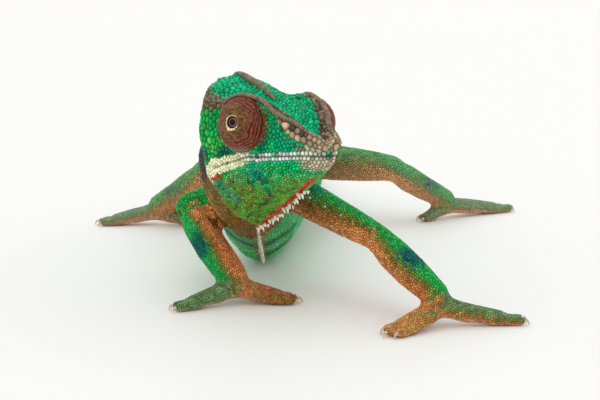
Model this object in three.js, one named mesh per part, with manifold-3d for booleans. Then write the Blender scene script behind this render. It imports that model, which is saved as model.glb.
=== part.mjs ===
// A panther chameleon as a still, life-size museum model: four spread feet, the belly on the floor and
// the head turned to the animal's left. Millimetres, +Z up, and the floor is z = 0. The animal faces -Y
// and its left side is +X. It is built around a point under the belly and centred at the very end.
import * as THREE from 'three';
import Module from 'manifold-3d';
import { LoftGeometry } from 'three/addons/geometries/LoftGeometry.js';
import { mergeVertices } from 'three/addons/utils/BufferGeometryUtils.js';

const wasm = await Module();
wasm.setup();

// ---------------------------------------------------------------- driving dimensions
const GAP = 0.3; // clearance between neighbouring pieces
const HALF_GAP = GAP / 2;
const HEAD_PLACE = new THREE.Vector3(5.3, -59, 44.2); // the point between the two eyes
const HEAD_TURN = { pitch: -4, roll: 2.8, yaw: 34.5 }; // degrees: nose up, right side up, to the left
const SNOUT = 20.8; // how far the lips reach in front of the eyes
const CASQUE = 21; // and behind them
const EYE = {
  forward: -1, side: 7.4, up: 2.2, // the middle of the turret, from the point between the eyes
  radius: 6.7, height: 7.4, root: 1.4, rootRadius: 4.8,
  ball: 2.3, lid: 1.15,
};
const GAZE = { right: [26, 11], left: [12, 4] }; // degrees forward of straight sideways, and upward
const TOE = { radius: 1.55, tip: 1.3, spacing: 2.1, claw: 1.2, clawRadius: 0.5 };

// ---------------------------------------------------------------- materials
const skinMaterial = (color) => new THREE.MeshStandardMaterial({ color, roughness: 0.55, metalness: 0 });
const MATERIALS = {
  green: skinMaterial(0x1f9a5e),
  olive: skinMaterial(0x5f8a3f),
  rust: skinMaterial(0x9a6236),
  turret: skinMaterial(0x6b3a22),
  eye: new THREE.MeshStandardMaterial({ color: 0x0c0806, roughness: 0.08, metalness: 0 }),
  claw: new THREE.MeshStandardMaterial({ color: 0xd8c2a0, roughness: 0.4, metalness: 0 }),
};

// ---------------------------------------------------------------- helpers
const radians = THREE.MathUtils.degToRad;
const vec = (x, y, z) => new THREE.Vector3(x, y, z);
const mix = THREE.MathUtils.lerp;
const UP = vec(0, 0, 1);

// A closed three.js geometry as a manifold-3d solid that faces outwards.
function solid(geometry) {
  const bare = new THREE.BufferGeometry();
  bare.setAttribute('position', geometry.getAttribute('position'));
  bare.setIndex(geometry.index);
  const merged = mergeVertices(bare, 1e-4);
  const triVerts = new Uint32Array(merged.index.array);
  const vertProperties = merged.attributes.position.array;
  const made = new wasm.Manifold(new wasm.Mesh({ numProp: 3, vertProperties, triVerts }));
  if (made.volume() > 0) return made;
  return new wasm.Manifold(new wasm.Mesh({ numProp: 3, vertProperties, triVerts: triVerts.reverse() }));
}

const join = (solids) => solids.reduce((all, one) => all.add(one));
const cut = (from, ...others) => others.reduce((left, one) => left.subtract(one), from);
const loft = (rings) => solid(new LoftGeometry(rings, { capStart: true, capEnd: true }));

// A box from its lowest to its highest corner.
function block(low, high) {
  const size = high.clone().sub(low);
  const made = new THREE.BoxGeometry(size.x, size.y, size.z);
  return solid(made.translate(low.x + size.x / 2, low.y + size.y / 2, low.z + size.z / 2));
}

// A smooth line through [at, value] pairs, read by its first number.
function line(pairs) {
  const points = pairs.map(([at, value]) => new THREE.Vector2(at, value));
  return (at) => {
    let i = points.findIndex((p) => p.x >= at);
    if (i < 0) return points.at(-1).y;
    if (i === 0) return points[0].y;
    const nearest = (k) => points[THREE.MathUtils.clamp(k, 0, points.length - 1)];
    const [before, from, to, after] = [i - 2, i - 1, i, i + 1].map(nearest);
    const t = (at - from.x) / (to.x - from.x);
    const span = to.x - from.x;
    const slope = (a, b) => (b.x === a.x ? 0 : ((b.y - a.y) / (b.x - a.x)) * span);
    const [m0, m1] = [slope(before, to), slope(from, after)];
    const [t2, t3] = [t * t, t * t * t];
    const ends = (2 * t3 - 3 * t2 + 1) * from.y + (3 * t2 - 2 * t3) * to.y;
    return ends + (t3 - 2 * t2 + t) * m0 + (t3 - t2) * m1;
  };
}

// A body part's centre line with a section that has a half width, a reach up and a reach down.
// Each station is [x, y, z, halfWidth, up, down]; keel narrows the section towards its top and bottom.
class Body {
  constructor(stations, { sides = 10, keelUp = 1, keelDown = 1, lowest = -Infinity } = {}) {
    this.centre = new THREE.CatmullRomCurve3(stations.map(([x, y, z]) => vec(x, y, z)), false, 'centripetal');
    const sizes = stations.map(([, , , a, up, down]) => vec(a, up, down));
    this.size = new THREE.CatmullRomCurve3(sizes, false, 'centripetal');
    this.last = stations.length - 1;
    this.sides = sides;
    this.keel = [keelUp, keelDown];
    this.lowest = lowest;
  }

  // The section at t from 0 to 1, grown by some millimetres, scaled, and pushed along the centre line.
  // What would sink below the lowest level, the floor, lies flat on it.
  ring(t, grow = 0, scale = 1, push = 0) {
    const centre = this.centre.getPoint(t);
    const along = this.centre.getTangent(t);
    const side = UP.clone().cross(along).normalize();
    const up = along.clone().cross(side).normalize();
    const size = this.sizeAt(t);
    return Array.from({ length: this.sides }, (_, i) => {
      const angle = Math.PI / 2 + (i / this.sides) * 2 * Math.PI;
      const [c, s] = [Math.cos(angle), Math.sin(angle)];
      const keel = s > 0 ? this.keel[0] : this.keel[1];
      const across = Math.sign(c) * Math.abs(c) ** keel * (size.x + grow) * scale;
      const reach = s * ((s > 0 ? size.y : size.z) + grow) * scale;
      const corner = centre.clone().addScaledVector(along, push);
      corner.addScaledVector(side, across).addScaledVector(up, reach);
      return corner.setZ(Math.max(corner.z, this.lowest));
    });
  }

  sizeAt(t) {
    return this.size.getPoint(t);
  }

  // The place along the line, from 0 to 1, of a station counted from 0.
  at(station) {
    return station / this.last;
  }

  // The closed solid along part of the line. Its ends are round, or flat and pulled in by some millimetres.
  solid({ from = 0, to = 1, rings = 10, grow = 0, flatStart = null, flatEnd = null } = {}) {
    const list = [];
    const dome = [[0.25, 0.97], [0.75, 0.66]]; // [scale, how far out as a share of the end's radius]
    const domeRing = (t, way) => ([scale, out]) => {
      const radius = Math.min(this.sizeAt(t).x, this.sizeAt(t).y) + grow;
      return this.ring(t, grow, scale, way * out * radius);
    };
    if (flatStart === null) list.push(...dome.map(domeRing(from, -1)));
    list.push(this.ring(from, grow, 1, flatStart ?? 0));
    for (let i = 1; i < rings; i++) list.push(this.ring(mix(from, to, i / rings), grow));
    list.push(this.ring(to, grow, 1, -(flatEnd ?? 0)));
    if (flatEnd === null) list.push(...dome.toReversed().map(domeRing(to, 1)));
    return loft(list);
  }
}

// ---------------------------------------------------------------- neck, trunk and tail
// The neck starts inside the back of the head. [x, y, z, halfWidth, up, down]
const CORE = new Body([
  [-0.5, -50, 41, 8.5, 11, 13],
  [-3, -44, 38, 11, 13, 17],
  [-2.6, -36, 34, 12.2, 13.5, 18],
  [-1, -25, 28.5, 12.2, 15, 17.5],
  [-0.5, -10, 25, 12.8, 17.5, 22.4],
  [0.3, 5, 23.5, 13, 19.5, 24.1],
  [3, 22, 23, 12.4, 20, 23.6],
  [5.8, 40, 22, 11, 18, 21.4],
  [8.2, 55, 20, 9.6, 15, 15.5],
  [10, 68, 16.5, 8, 11.5, 11],
  [11.6, 80, 12, 6.2, 8.6, 8.4],
  [13, 94, 7.4, 5, 6.4, 7.7],
  [14, 112, 4.7, 4.2, 5, 5.1],
  [12.5, 131, 4.3, 3.8, 4.6, 4.7],
], { sides: 16, keelUp: 1.35, keelDown: 1.2 });
const NECK_END = CORE.at(2.8);
const TRUNK_END = CORE.at(10);
const TAIL_START = CORE.at(12);

// The tail lies on the floor in a loose curve. It shares two stations with the line above. [x, y, radius]
const TAIL_LINE = [
  [13, 94, 5.2], [14, 112, 4.5], [12.5, 131, 4.1], [7, 150, 3.7], [-1, 168, 3.3], [-8, 186, 2.9],
  [-11, 204, 2.5], [-8, 219, 2.1], [1, 227, 1.7], [10, 224, 1.35], [12, 215, 1],
];
const TAIL_TALL = 1.12; // taller than wide
const TAIL_WIDE = 0.93;
const TAIL_SINK = 0.92; // its middle's height over its half height: below 1 it rests on a small flat
const TAIL = new Body(
  TAIL_LINE.map(([x, y, r]) => [x, y, r * TAIL_TALL * TAIL_SINK, r * TAIL_WIDE, r * TAIL_TALL]),
  { sides: 9, lowest: 0 },
);
const TAIL_CUTS = [TAIL.at(1), TAIL.at(3.6), TAIL.at(6.4), 1];

// ---------------------------------------------------------------- head
// The head faces -Y in its own frame; these lines run from the casque to the snout, by distance forward.
const topLine = line([
  [-21, 12.4], [-19.5, 13], [-14, 12], [-8, 10.2], [-2, 8.4], [4, 6.2], [9, 4], [14, 1.6], [18, -0.2],
  [21.4, -1.6],
]);
const crestOut = line([
  [-21, 1.6], [-20, 4.6], [-19, 7.2], [-17, 9.6], [-15, 11], [-13, 11.7], [-10, 10.9], [-6, 9.8], [0, 8.9],
  [5, 7.6], [9, 6.2], [13, 4.9], [17, 3.7], [20, 2.6], [21.4, 1.4],
]);
const crestUp = line([
  [-21, 12.2], [-20, 12.2], [-19, 11.3], [-17, 10], [-15, 8.6], [-13, 7.7], [-10, 7.5], [-6, 8.1], [-3, 9.2],
  [0, 9.6], [5, 8.2], [9, 5.9], [13, 3.4], [17, 1.4], [20, 0.5], [21.4, -0.2],
]);
const cheekOut = line([
  [-21, 1.6], [-19, 6.4], [-17, 10.4], [-15, 12.5], [-13, 13.1], [-10, 12.6], [-4, 11], [2, 9], [8, 7.2],
  [14, 5.6], [18, 3.9], [20, 2.6], [21.4, 1.3],
]);
const cheekUp = line([
  [-21, 11.6], [-19, 6], [-17, 2.6], [-14, -0.4], [-8, -2.2], [0, -2], [8, -1.6], [16, -2.4], [21.4, -2.9],
]);
const lipOut = line([
  [-21, 1.3], [-19, 5.4], [-17, 8.8], [-15, 10.8], [-12, 11.8], [-9, 11.4], [-2, 10.2], [6, 8.4], [13, 6],
  [16, 4.8], [18, 3.7], [20, 2.3], [21.4, 1],
]);
const lipUp = line([
  [-21, 11], [-18, 2], [-15, -9], [-13.6, -10.4], [-12, -9.4], [-8, -7.4], [-2, -5.6], [5, -4.7], [13, -4.3],
  [21.4, -3.8],
]);
const jawOut = line([
  [-21, 1], [-18, 4.6], [-15, 8.6], [-12, 9.8], [-9, 9.6], [-2, 8.9], [6, 7.3], [13, 5.4], [18, 3.5], [20, 2.1],
  [21.4, 0.9],
]);
const keelUp = line([
  [-21, 10.6], [-18.5, 2], [-15.5, -11], [-13, -19], [-9, -22.8], [-4, -21], [2, -17.6], [8.5, -13.6],
  [14.6, -10], [18, -7.8], [20.5, -6], [21.4, -5.2],
]);

// Half of a head section, from the top of the head down to the throat, as [out, up] pairs.
function headOutline(f, grow) {
  const [crest, cheek, lip] = [crestOut(f), cheekOut(f), lipOut(f)];
  const throat = keelUp(f);
  const band = Math.min(3.4, Math.max(0.6, crestUp(f) - cheekUp(f)) * 0.5); // the steep face under the crest
  const { smoothstep } = THREE.MathUtils;
  const dish = 0.9 * smoothstep(f, -6, 2); // the forehead sinks between the eyes
  const bulge = 1.4 * smoothstep(-f, 3, 12) * (1 - smoothstep(-f, 17, 20.5)); // the casque's panels swell
  return [
    [0, topLine(f) - dish],
    [crest * 0.45, mix(topLine(f), crestUp(f), 0.35) - dish + bulge],
    [crest * 0.82, mix(topLine(f), crestUp(f), 0.93) - dish * 0.1 + bulge * 0.3],
    [crest, crestUp(f)],
    [mix(crest, cheek, 0.35), crestUp(f) - band],
    [mix(crest, cheek, 0.85), mix(crestUp(f) - band, cheekUp(f), 0.6)],
    [cheek, cheekUp(f)],
    [lip + 0.1, mix(lipUp(f), cheekUp(f), 0.3)],
    [lip, lipUp(f)],
    [mix(lip, jawOut(f), 0.2), mix(lipUp(f), throat, 0.12)],
    [jawOut(f), mix(lipUp(f), throat, 0.32)],
    [jawOut(f) * 0.84, mix(lipUp(f), throat, 0.6)],
    [jawOut(f) * 0.54, mix(lipUp(f), throat, 0.84)],
    [0.5, mix(lipUp(f), throat, 0.975)],
    [0, throat],
  ].map(([out, up], i, all) => {
    const side = i === 0 || i === all.length - 1 ? 0 : grow;
    return [out + side, up + (i < 4 ? grow : i > 11 ? -grow : 0)];
  });
}

function headRing(f, grow) {
  const half = headOutline(f, grow);
  const right = half.map(([out, up]) => vec(-out, -f, up));
  const left = half.slice(1, -1).reverse().map(([out, up]) => vec(out, -f, up));
  return [...right, ...left];
}

// The head closes at both ends with a small oval ring.
function endRing(f, up, out, tall) {
  const sides = headRing(0, 0).length;
  return Array.from({ length: sides }, (_, i) => {
    const angle = Math.PI / 2 + (i / sides) * 2 * Math.PI;
    return vec(out * Math.cos(angle), -f, up + tall * Math.sin(angle));
  });
}

const HEAD_RINGS = [-20, -18.5, -17, -15.5, -14, -12.3, -10, -7, -4, -1, 2, 5, 8, 11, 14, 17, 19, 20.1];
const headShape = (grow = 0, rings = HEAD_RINGS) => loft([
  endRing(-CASQUE - grow, 11.8, 1 + grow, 1 + grow),
  ...rings.map((f) => headRing(f, grow)),
  ...(rings === HEAD_RINGS ? [endRing(SNOUT + grow, -3.2, 0.9 + grow, 1.5 + grow)] : []),
]);
const headBack = () => headShape(GAP, HEAD_RINGS.filter((f) => f < -3)); // what the neck gives way to

// The thick rolls of plates from the brow to the tip of the snout, one on each side.
// [forward, half height]
const ROLL = [[4.5, 0.7], [7.5, 1.4], [10.5, 2], [14, 2.2], [18, 2], [20.2, 1.7], [21, 1.3]];
function rostralRoll(side) {
  const stations = ROLL.map(([f, tall]) => {
    const out = crestOut(Math.min(f, 20.6)) - 0.2;
    return [side * out, -f, crestUp(f) - tall * 0.85, 1.25, tall, tall];
  });
  return new Body(stations, { sides: 7 }).solid({ rings: 6 });
}

// A low keel along the middle of the casque.
const KEEL = [[-20, 1.2], [-16.5, 1.8], [-12, 1.6], [-8, 1.3], [-3.5, 0.5]]; // [forward, height]
function parietalKeel() {
  const stations = KEEL.map(([f, tall]) => [0, -f, topLine(f), 0.75, tall, 1]);
  return new Body(stations, { sides: 6 }).solid({ rings: 4 });
}

// Small cones in a row under the throat, the gular crest.
const GULAR = { first: 14, last: -8.5, count: 12, height: 1.7, radius: 0.65 };
function gularCrest() {
  return Array.from({ length: GULAR.count }, (_, i) => {
    const share = i / (GULAR.count - 1);
    const f = mix(GULAR.first, GULAR.last, share);
    const height = GULAR.height * (0.55 + 0.45 * Math.sin(Math.PI * Math.min(1, share + 0.15)));
    const cone = new THREE.ConeGeometry(GULAR.radius, height + 1, 5, 1).rotateX(-Math.PI / 2 - 0.45);
    return solid(cone.translate(0, -f, keelUp(f) - height / 2 + 0.5));
  });
}

// An eye turret about its own axis, which points along +Z: a dome that narrows to the lids.
const BALL_AT = EYE.height - EYE.ball - 0.4; // the middle of the eyeball
const DOME_STEPS = 6;
const DOME_END = radians(76);
const TURRET_SIDES = 14;
const point = (out, up) => new THREE.Vector2(out, up);

function domeProfile(grow) {
  const radius = EYE.radius + grow;
  const dome = Array.from({ length: DOME_STEPS }, (_, i) => {
    const angle = (i / (DOME_STEPS - 1)) * DOME_END;
    const lift = 1 + (EYE.height / EYE.radius - 1) * Math.sin(angle);
    return point(radius * Math.cos(angle), radius * Math.sin(angle) * lift);
  });
  return [point(0, -EYE.root - grow), point(EYE.rootRadius + grow, -EYE.root - grow), ...dome];
}

// The seat of the eyeball, from its floor up to the edge of the lids.
function seatProfile() {
  const radius = EYE.ball + GAP;
  const seat = [90, 50, 12, -22].map(radians).map((angle) => (
    point(radius * Math.cos(angle), BALL_AT - radius * Math.sin(angle))
  ));
  return [...seat, point(EYE.lid, EYE.height - 0.55), point(EYE.lid + 0.1, EYE.height - 0.1)];
}

function turretPlace(side) {
  const [forward, upward] = (side < 0 ? GAZE.right : GAZE.left).map(radians);
  const axis = vec(side * Math.cos(forward), -Math.sin(forward), Math.tan(upward)).normalize();
  return new THREE.Matrix4()
    .makeRotationFromQuaternion(new THREE.Quaternion().setFromUnitVectors(UP, axis))
    .setPosition(side * EYE.side, -EYE.forward, EYE.up);
}

function spun(profile, side) {
  const upright = new THREE.LatheGeometry(profile, TURRET_SIDES).rotateX(Math.PI / 2);
  return solid(upright.applyMatrix4(turretPlace(side)));
}

const turretShape = (side) => spun([...domeProfile(0), ...seatProfile().reverse()], side);
const socketShape = (side) => spun([...domeProfile(GAP), point(0, EYE.height + GAP)], side);

function eyeBall(side) {
  const ball = new THREE.SphereGeometry(EYE.ball, 9, 6).translate(0, 0, BALL_AT);
  return solid(ball.applyMatrix4(turretPlace(side)));
}

// The closed mouth: a thin curved sheet from the snout to the mouth's corner, and down behind the jaw.
const MOUTH_CORNER = [-13.4, -11]; // [forward, up]
const SHEET_WIDTH = 40;
function mouthCut() {
  const lips = [26, 14, 6, 1, -3, -6.5, -9.5, -12].map((f) => [f, lipUp(f)]);
  const path = [...lips, MOUTH_CORNER, [-13.8, -32]];
  const above = path.map(([f, up]) => new THREE.Vector2(-f, up + HALF_GAP));
  const below = path.map(([f, up]) => {
    const behindJaw = up < MOUTH_CORNER[1] ? GAP : 0;
    return new THREE.Vector2(-f - behindJaw, up - HALF_GAP);
  });
  const outline = new THREE.Shape([...above, ...below.reverse()]);
  const sheet = new THREE.ExtrudeGeometry(outline, { depth: SHEET_WIDTH, bevelEnabled: false });
  const across = new THREE.Matrix4().makeBasis(vec(0, 1, 0), UP, vec(1, 0, 0));
  return solid(sheet.translate(0, 0, -SHEET_WIDTH / 2).applyMatrix4(across));
}

// ---------------------------------------------------------------- legs
// Each leg is a chain of joints with radii along its two lengths; bow pushes the lower leg's middle out.
// outer and inner are the tips of the two toe bundles, and toes how many are fused into each.
const LEGS = {
  fore_left: {
    root: vec(6, -25, 25.8), knee: vec(29, -51, 17.9), ankle: vec(43, -66, 6.6),
    upper: [5.2, 4.4, 3.6], lower: [4.2, 4.2, 3.5], bow: vec(-0.2, 0, -0.1),
    outer: vec(63.9, -64.4, 0), inner: vec(30, -75.6, 0), toes: [2, 3],
  },
  fore_right: {
    root: vec(-4, -14, 20), knee: vec(-17.6, -29, 21), ankle: vec(-5.4, -46, 6),
    upper: [6.8, 5.6, 4.2], lower: [4.4, 4.4, 4.1], bow: vec(-0.8, 0, 0),
    outer: vec(-20.6, -53.5, 0), inner: vec(10.4, -44.9, 0), toes: [2, 3],
  },
  hind_left: {
    root: vec(13, 63, 18.5), knee: vec(38.9, 47, 18.6), ankle: vec(58.2, 61.5, 5.6),
    upper: [6.2, 5.4, 4.3], lower: [4.3, 4, 3.4], bow: vec(-0.3, 0, -0.4),
    outer: vec(80.4, 74.4, 0), inner: vec(48.4, 54.6, 0), toes: [3, 2],
  },
  hind_right: {
    root: vec(5, 63, 18.5), knee: vec(-18.3, 41, 18.6), ankle: vec(-35, 51, 5.6),
    upper: [6.2, 5.4, 4.3], lower: [4.3, 4, 3.4], bow: vec(0.3, 0, -0.7),
    outer: vec(-53, 50.4, 0), inner: vec(-19.6, 48.6, 0), toes: [3, 2],
  },
};

const station = (p, a, up = a, down = up) => [p.x, p.y, p.z, a, up, down];

function upperLeg(leg) {
  const [big, mid, end] = leg.upper;
  const middle = leg.root.clone().lerp(leg.knee, 0.5);
  return new Body([station(leg.root, big), station(middle, mid, mid * 1.05), station(leg.knee, end)]);
}

function lowerLeg(leg) {
  const [calf, shin, end] = leg.lower;
  const at = (t, radius, bow = 0) => {
    const place = leg.knee.clone().lerp(leg.ankle, t);
    return station(place.addScaledVector(leg.bow, bow), radius);
  };
  const above = [at(0.02, calf * 0.9), at(0.28, calf, 0.8), at(0.56, shin, 1)];
  return new Body([...above, at(0.84, mix(shin, end, 0.75), 0.3), at(1, end)]);
}

// One toe bundle: fused toes in a mitten, with free tips. Returns its solid and each claw.
function bundle(leg, tip, toes) {
  const out = tip.clone().sub(leg.ankle).setZ(0);
  const reach = out.length() - TOE.claw;
  out.normalize();
  const across = out.clone().cross(UP);
  const at = (share, side, z) => {
    const place = leg.ankle.clone().addScaledVector(out, share * reach);
    return place.addScaledVector(across, side).setZ(z);
  };
  const width = (toes - 1) * 0.5 * TOE.spacing;
  const { radius, tip: tipRadius } = TOE;
  const mitten = new Body([
    station(at(-0.08, 0, leg.ankle.z - 1.2), 3.3, 3.1),
    station(at(0.34, 0, 3.2), width + 1.5, 2.4, 2.9),
    station(at(0.74, 0, 1.8), width + 1.35, 1.8, 2.2),
  ], { sides: 7, lowest: 0 });
  const parts = [mitten.solid({ rings: 2, flatStart: 0 })];
  const claws = [];
  for (let i = 0; i < toes; i++) {
    const offset = i - (toes - 1) / 2;
    const length = 1 - 0.07 * Math.abs(offset);
    const start = at(0.58, offset * TOE.spacing * 0.85, radius * 0.95);
    const end = at(length, offset * TOE.spacing * 1.2, tipRadius);
    const toe = new Body([
      station(start, radius * 0.85, radius * 0.85, radius * 1.25),
      station(end, tipRadius, tipRadius, tipRadius * 1.35),
    ], { sides: 5, lowest: 0 });
    parts.push(toe.solid({ rings: 1, flatStart: 0 }));
    claws.push(claw(toe.centre.getPoint(1).addScaledVector(out, tipRadius * 0.75 + GAP), out));
  }
  return { flesh: join(parts), claws };
}

// A curved claw from its root on the toe's tip, with its point just above the floor.
function claw(root, out) {
  const along = (share, z) => root.clone().addScaledVector(out, share * TOE.claw).setZ(z);
  const bend = new Body([
    station(root.clone().setZ(root.z - 0.1), TOE.clawRadius),
    station(along(0.55, root.z - 0.15), TOE.clawRadius * 0.7),
    station(along(1, 0.3), 0.12),
  ], { sides: 4 });
  return bend.solid({ rings: 2, flatStart: 0, flatEnd: 0 });
}

// ---------------------------------------------------------------- crest along the back
const DORSAL = { count: 20, from: CORE.at(3.3), to: CORE.at(9.6), height: 2, radius: 1.1 };
function dorsalCrest() {
  return Array.from({ length: DORSAL.count }, (_, i) => {
    const share = i / (DORSAL.count - 1);
    const t = mix(DORSAL.from, DORSAL.to, share);
    const top = CORE.ring(t)[0];
    const height = DORSAL.height * (1 - 0.55 * share);
    const cone = new THREE.ConeGeometry(DORSAL.radius, height + 1, 5, 1).rotateX(Math.PI / 2);
    return solid(cone.translate(top.x, top.y, top.z + height / 2 - 0.5));
  });
}

// ---------------------------------------------------------------- assembly
const group = new THREE.Group();

function add(name, shape, material) {
  const { numProp, vertProperties, triVerts } = shape.getMesh();
  const count = vertProperties.length / numProp;
  const positions = new Float32Array(count * 3);
  for (let i = 0; i < count; i++) {
    const start = i * numProp;
    positions.set(vertProperties.subarray(start, start + 3), i * 3);
  }
  const geometry = new THREE.BufferGeometry();
  geometry.setAttribute('position', new THREE.BufferAttribute(positions, 3));
  geometry.setIndex(new THREE.BufferAttribute(triVerts, 1));
  geometry.computeVertexNormals();
  const mesh = new THREE.Mesh(geometry, material);
  mesh.name = name;
  group.add(mesh);
}

const headMatrix = new THREE.Matrix4().makeRotationFromEuler(
  new THREE.Euler(radians(HEAD_TURN.pitch), radians(HEAD_TURN.roll), radians(HEAD_TURN.yaw), 'ZXY'),
).setPosition(HEAD_PLACE);
const placeHead = (shape) => shape.transform(headMatrix.elements);

const floor = block(vec(-100, -200, -20), vec(100, 300, 0));
const onFloor = (shape) => cut(shape, floor);

// Head and jaw, with the eyes in their sockets.
const sockets = [-1, 1].map(socketShape);
const wholeHead = join([headShape(), rostralRoll(1), rostralRoll(-1), parietalKeel(), ...gularCrest()]);
const headPieces = cut(wholeHead, mouthCut(), ...sockets).decompose();
const lowest = (shape) => shape.boundingBox().min[2];
headPieces.sort((a, b) => lowest(a) - lowest(b));
add('jaw', placeHead(headPieces[0]), MATERIALS.olive);
add('head', placeHead(headPieces[1]), MATERIALS.green);
for (const [name, side] of [['left', 1], ['right', -1]]) {
  add(`eye_turret_${name}`, placeHead(turretShape(side)), MATERIALS.turret);
  add(`eyeball_${name}`, placeHead(eyeBall(side)), MATERIALS.eye);
}

// Neck, trunk and tail, parted by flat cuts. The neck gives way to the head.
const grownHead = placeHead(headBack());
const grownCore = CORE.solid({ to: TRUNK_END, rings: 18, grow: GAP, flatStart: 0, flatEnd: HALF_GAP });
const neck = CORE.solid({ to: NECK_END, rings: 4, flatStart: 0, flatEnd: HALF_GAP });
add('neck', cut(neck, grownHead), MATERIALS.olive);
const parted = { flatStart: HALF_GAP, flatEnd: HALF_GAP };
const trunk = CORE.solid({ from: NECK_END, to: TRUNK_END, rings: 12, ...parted });
add('trunk', onFloor(join([trunk, ...dorsalCrest()])), MATERIALS.green);
const tailBase = CORE.solid({ from: TRUNK_END, to: TAIL_START, rings: 4, ...parted });
add('tail_base', onFloor(tailBase), MATERIALS.green);
TAIL_CUTS.slice(0, -1).forEach((from, i) => {
  const to = TAIL_CUTS[i + 1];
  const length = TAIL.solid({ from, to, rings: 7, flatStart: HALF_GAP, flatEnd: to < 1 ? HALF_GAP : null });
  add(`tail_${i + 1}`, length, MATERIALS.green);
});

// Legs, feet and claws.
for (const [name, leg] of Object.entries(LEGS)) {
  const upper = upperLeg(leg).solid({ rings: 3, flatStart: 0 });
  const upperRoom = upperLeg(leg).solid({ rings: 3, grow: GAP, flatStart: 0 });
  const lower = lowerLeg(leg).solid({ rings: 4, flatStart: 0, flatEnd: HALF_GAP });
  const lowerRoom = lowerLeg(leg).solid({ rings: 4, grow: GAP, flatStart: 0, flatEnd: -HALF_GAP });
  const bundles = { outer: bundle(leg, leg.outer, leg.toes[0]), inner: bundle(leg, leg.inner, leg.toes[1]) };
  const flesh = join([bundles.outer.flesh, bundles.inner.flesh]);
  add(`${name}_upper`, cut(upper, grownCore, grownHead), MATERIALS.green);
  add(`${name}_lower`, cut(lower, upperRoom, grownCore), MATERIALS.rust);
  add(`${name}_foot`, cut(flesh, lowerRoom), MATERIALS.rust);
  for (const [place, { claws }] of Object.entries(bundles)) {
    claws.forEach((one, i) => add(`${name}_claw_${place}_${i + 1}`, one, MATERIALS.claw));
  }
}

// The origin goes to the middle of the model's box, on the floor.
const box = new THREE.Box3().setFromObject(group);
const middle = box.getCenter(new THREE.Vector3());
group.position.set(-middle.x, -middle.y, -box.min.z);
group.updateMatrixWorld(true);

export default group;
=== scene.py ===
# %% [markdown]
# # A panther chameleon, scale by scale
# This lesson dresses a plain solid model of a panther chameleon. The solids give the pose and the
# proportions. Here they get one continuous skin, thousands of granular scales over it, turret eyes
# with their ring folds, rows of horny tubercles, a spiny throat crest and the colours of the living
# animal. All lengths are in metres, and the animal faces -Y with its left side towards +X.

# %% The frame
import math
import time
import bmesh
import bpy
import numpy as np
from mathutils import Matrix, Vector, noise
from mathutils.bvhtree import BVHTree
from mathutils.kdtree import KDTree


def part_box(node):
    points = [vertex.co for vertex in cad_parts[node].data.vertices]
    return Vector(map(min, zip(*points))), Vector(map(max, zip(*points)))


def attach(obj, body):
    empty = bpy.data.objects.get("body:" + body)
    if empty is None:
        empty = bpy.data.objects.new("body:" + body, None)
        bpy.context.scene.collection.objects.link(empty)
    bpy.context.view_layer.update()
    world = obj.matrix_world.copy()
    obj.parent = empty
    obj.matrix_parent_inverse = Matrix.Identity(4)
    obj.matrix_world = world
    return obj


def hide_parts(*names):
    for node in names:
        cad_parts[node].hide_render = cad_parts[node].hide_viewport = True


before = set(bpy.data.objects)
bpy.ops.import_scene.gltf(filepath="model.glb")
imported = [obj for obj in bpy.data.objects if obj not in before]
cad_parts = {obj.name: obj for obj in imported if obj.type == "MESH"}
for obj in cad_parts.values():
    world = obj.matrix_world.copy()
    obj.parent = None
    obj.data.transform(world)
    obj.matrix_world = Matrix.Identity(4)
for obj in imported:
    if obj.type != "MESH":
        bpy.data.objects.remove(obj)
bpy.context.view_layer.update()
MM = 0.001
clock = time.time()


def elapsed(words):
    print(f"{time.time() - clock:6.1f} s  {words}")


# %% [markdown]
# ## Finding the head
# The head is turned to the animal's left, so its details are easier to place in the head's own
# frame: f millimetres forward, l to the animal's left and u up from the point between the eyes. The
# solids' two eyeballs tell where that point is.

# %% The head's own frame
HEAD_PITCH, HEAD_ROLL, HEAD_YAW = (math.radians(a) for a in (-4, 2.8, 34.5))
head_turn = (
    Matrix.Rotation(HEAD_YAW, 3, "Z")
    @ Matrix.Rotation(HEAD_PITCH, 3, "X")
    @ Matrix.Rotation(HEAD_ROLL, 3, "Y")
)
TURRET_AT = {"right": (-1, -7.4, 2.2), "left": (-1, 7.4, 2.2)}  # forward, left, up
GAZE = {"right": (26, 11), "left": (12, 4)}  # degrees forward of straight sideways, and upward
LOOK = {"right": (26.5, 7), "left": (12, 4)}  # how the finished turrets look, a touch lower
BALL_OUT = 4.7  # from the middle of a turret to the middle of its eyeball


def in_head(f, l, u):
    return Vector((l, -f, u)) * MM


def gaze_axis(side, gaze=GAZE):
    forward, upward = (math.radians(a) for a in gaze[side])
    out = 1 if side == "left" else -1
    return Vector((out * math.cos(forward), -math.sin(forward), math.tan(upward))).normalized()


def middle(node):
    low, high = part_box(node)
    return (Vector(low) + Vector(high)) / 2


guesses = [
    middle(f"eyeball_{side}") - head_turn @ (in_head(*TURRET_AT[side]) + gaze_axis(side) * BALL_OUT * MM)
    for side in TURRET_AT
]
head_place = (guesses[0] + guesses[1]) / 2
guess_gap = (guesses[0] - guesses[1]).length / MM
print("head at", [round(v / MM, 2) for v in head_place], "guesses apart", guess_gap)


def on_head(f, l, u):
    return head_place + head_turn @ in_head(f, l, u)


body_zero = head_place - Vector((-8.31, -133.5, 44.25)) * MM  # where the body's own measures start


def head_coordinates(points):
    """Forward, left and up, in millimetres, of many points at once."""
    local = (points - np.array(head_place)) @ np.array(head_turn) / MM
    return -local[:, 1], local[:, 0], local[:, 2]

# %% [markdown]
# ## Camera, light and floor
# The animal is looked at from just above its own height, through a short telephoto lens, on a white
# studio floor. Two very soft lamps and a white sky give almost shadowless light, as in a light tent.
# The Standard view transform shows each painted colour as it is mixed.

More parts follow.
